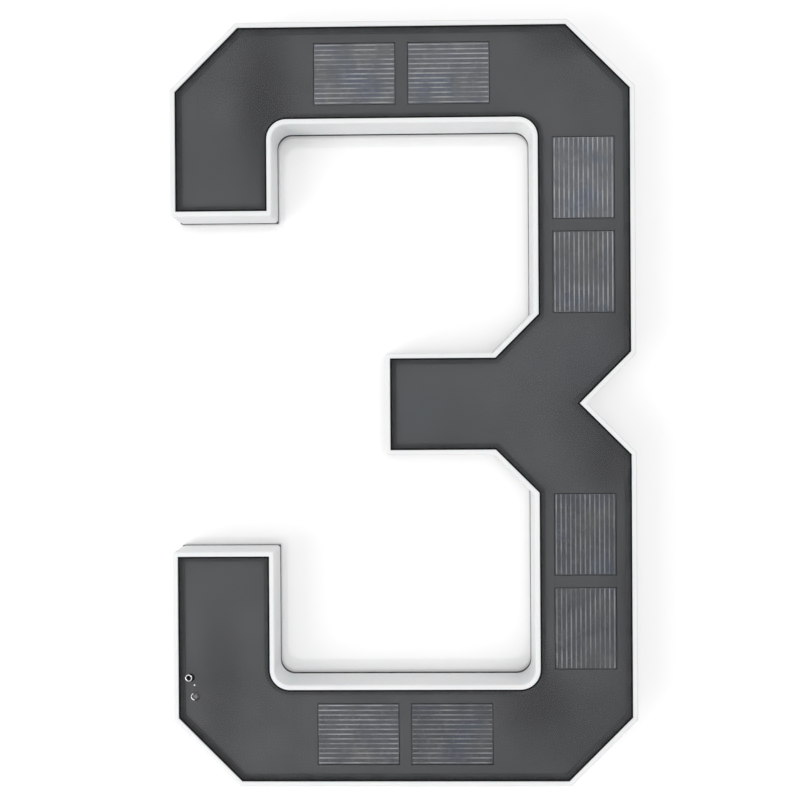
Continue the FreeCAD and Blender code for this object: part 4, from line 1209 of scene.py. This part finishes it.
@dataclass
class Stage:
    """The white wall and floor, the soft light and the camera of the photograph.

    Attributes:
        wall: level of the wall's face behind the sign's back.
        reach: half the size of wall and floor, in m.
        floor: level of the floor, in m.
        wall_lift: how much of the wall's white is its own to the camera.
        floor_lift: how much of the floor's is.
        white: the sheets' colour.
        polish: share of a sheet's light that is mirrored.
        level: strength of the light from all round.
        lamps: place in m and power in W of each lamp.
        lamp_size: side of a lamp's square, in m.
        focal: focal length.
        sensor: width of the camera's sensor.
        eye: where the camera stands, in m.
        axes: the camera's right, up and back, as fitted to the corners in the photograph.
    """

    wall: float = 0.9
    reach: float = 3.0
    floor: float = -1.4
    wall_lift: float = 0.19
    floor_lift: float = 0.35
    white: str = "#EEEEEE"
    polish: float = 0.26
    level: float = 0.7
    lamps: tuple[tuple[str, Place, float], ...] = (
        ("key", (-1.05, -1.35, -0.55), 11.0),
        ("fill", (0.9, -1.3, 0.6), 3.0),
        ("rear", (-0.6, 1.3, 0.8), 9.0),
    )
    lamp_size: float = 1.0
    focal: float = 59.85
    sensor: float = 36.0
    eye: Place = (0.00994, -0.55474, 0.00439)
    axes: tuple[Place, Place, Place] = (
        (0.99976, 0.02117, -0.00637),
        (0.00626, 0.00525, 0.99997),
        (0.0212, -0.99976, 0.00512),
    )

    def sheet(self, name: str, lift: float) -> bpy.types.Material:
        """Build the white sheet of the wall or the floor, unseen from its rear.

        Args:
            name: the material's name.
            lift: how much of its white is its own to the camera.

        Returns:
            The material.
        """
        made = bpy.data.materials.new(name)
        made.use_nodes = True
        tree = made.node_tree
        tree.nodes.clear()
        path = add_node(tree, "LightPath")
        matt = add_node(tree, "BsdfDiffuse", {"Color": linear(self.white)})
        shine = add_node(tree, "BsdfGlossy", {"Color": linear("#FFFFFF"), "Roughness": 0.05})
        surface = add_node(tree, "MixShader", {0: self.polish, 1: matt, 2: shine})
        strength = add_node(tree, "Math", {0: path.outputs["Is Camera Ray"], 1: lift}, operation="MULTIPLY")
        own = add_node(tree, "Emission", {"Strength": strength})
        lit = add_node(tree, "AddShader", {0: surface, 1: own})
        clear = add_node(tree, "BsdfTransparent")
        rear = add_node(tree, "NewGeometry").outputs["Backfacing"]
        both = add_node(tree, "MixShader", {0: rear, 1: lit, 2: clear})
        add_node(tree, "OutputMaterial", {0: both})
        return made

    def backdrop(self) -> None:
        """Stand the wall behind the sign, open inside its outline so that light reaches the back."""
        cutter = outline_face()
        depth, sheet = 4.0, 0.5
        push(depth)
        pick_all()
        bpy.ops.transform.translate(value=(0, (self.wall - depth / 2 - LENS_BACK) * MM, 0))
        bpy.ops.mesh.normals_make_consistent()
        clear_selection()
        bpy.ops.mesh.primitive_cube_add(
            size=1,
            location=(0, (self.wall + sheet / 2) * MM, 0),
            scale=(2 * self.reach, sheet * MM, 2 * self.reach),
        )
        bpy.ops.object.transform_apply()
        apply_modifier("BOOLEAN", operation="DIFFERENCE", object=cutter, solver="EXACT")
        bpy.data.objects.remove(cutter)
        wall = bpy.context.object
        bpy.ops.object.mode_set(mode="EDIT")
        pick_faces(lambda face: not faces_front(face))
        bpy.ops.mesh.delete(type="FACE")
        clear_selection()
        bpy.ops.mesh.primitive_plane_add(size=2 * self.reach, location=(0, 0, self.floor))
        floor = bpy.context.object
        for piece, name, lift in ((wall, "wall", self.wall_lift), (floor, "floor", self.floor_lift)):
            piece.name = name
            piece.data.materials.clear()
            piece.data.materials.append(self.sheet(name + "_paper_white", lift))

    def world(self) -> None:
        """Light evenly from all round, and show white to the camera and in reflections."""
        world = bpy.data.worlds.new("studio")
        world.use_nodes = True
        bpy.context.scene.world = world
        tree = world.node_tree
        tree.nodes.clear()
        path = add_node(tree, "LightPath")
        seen = path.outputs["Is Camera Ray"]
        for other in ("Is Glossy Ray", "Is Transmission Ray"):
            seen = add_node(tree, "Math", {0: seen, 1: path.outputs[other]}, operation="MAXIMUM")
        strength = ramp(tree, seen, (0.0, 1.0), (self.level, 1.0))
        sky = add_node(tree, "Background", {"Color": linear("#FFFFFF"), "Strength": strength})
        add_node(tree, "OutputWorld", {0: sky})

    def lamp(self, name: str, place: Place, power: float) -> None:
        """Hang a soft lamp that looks at the sign.

        Args:
            name: the lamp's name.
            place: where it hangs, in m.
            power: in W.
        """
        light = bpy.data.lights.new(name, "AREA")
        light.size, light.energy = self.lamp_size, power
        lamp = bpy.data.objects.new(name, light)
        lamp.location = place
        lamp.rotation_mode = "QUATERNION"
        lamp.rotation_quaternion = (-Vector(place)).to_track_quat("-Z", "Y")
        lamp.visible_camera = False
        bpy.context.scene.collection.objects.link(lamp)

    def camera(self) -> None:
        """Set the camera where the photograph was taken from."""
        data = bpy.data.cameras.new("camera")
        data.sensor_width, data.lens = self.sensor, self.focal
        data.clip_start, data.clip_end = 0.01, 20.0
        camera = bpy.data.objects.new("camera", data)
        turn = Matrix(self.axes).transposed().to_4x4()
        camera.matrix_world = Matrix.Translation(self.eye) @ turn
        bpy.context.scene.collection.objects.link(camera)
        bpy.context.scene.camera = camera

    def build(self) -> None:
        """Set up camera, light and backdrop."""
        self.camera()
        bpy.context.scene.view_settings.view_transform = "Standard"
        self.world()
        self.backdrop()
        for name, place, power in self.lamps:
            self.lamp(name, place, power)


def main() -> None:
    """Build the sign's sub-assemblies in order."""
    logging.basicConfig(level=logging.INFO, format="%(message)s")
    parts = (Stage(), Shell(), CellArray(), Signals(), Back(), BatteryBay(), Controls(), Glow(), PowerButton())
    for part in parts:
        part.build()
        log.info("%s done", type(part).__name__)


if __name__ == "__main__":
    main()
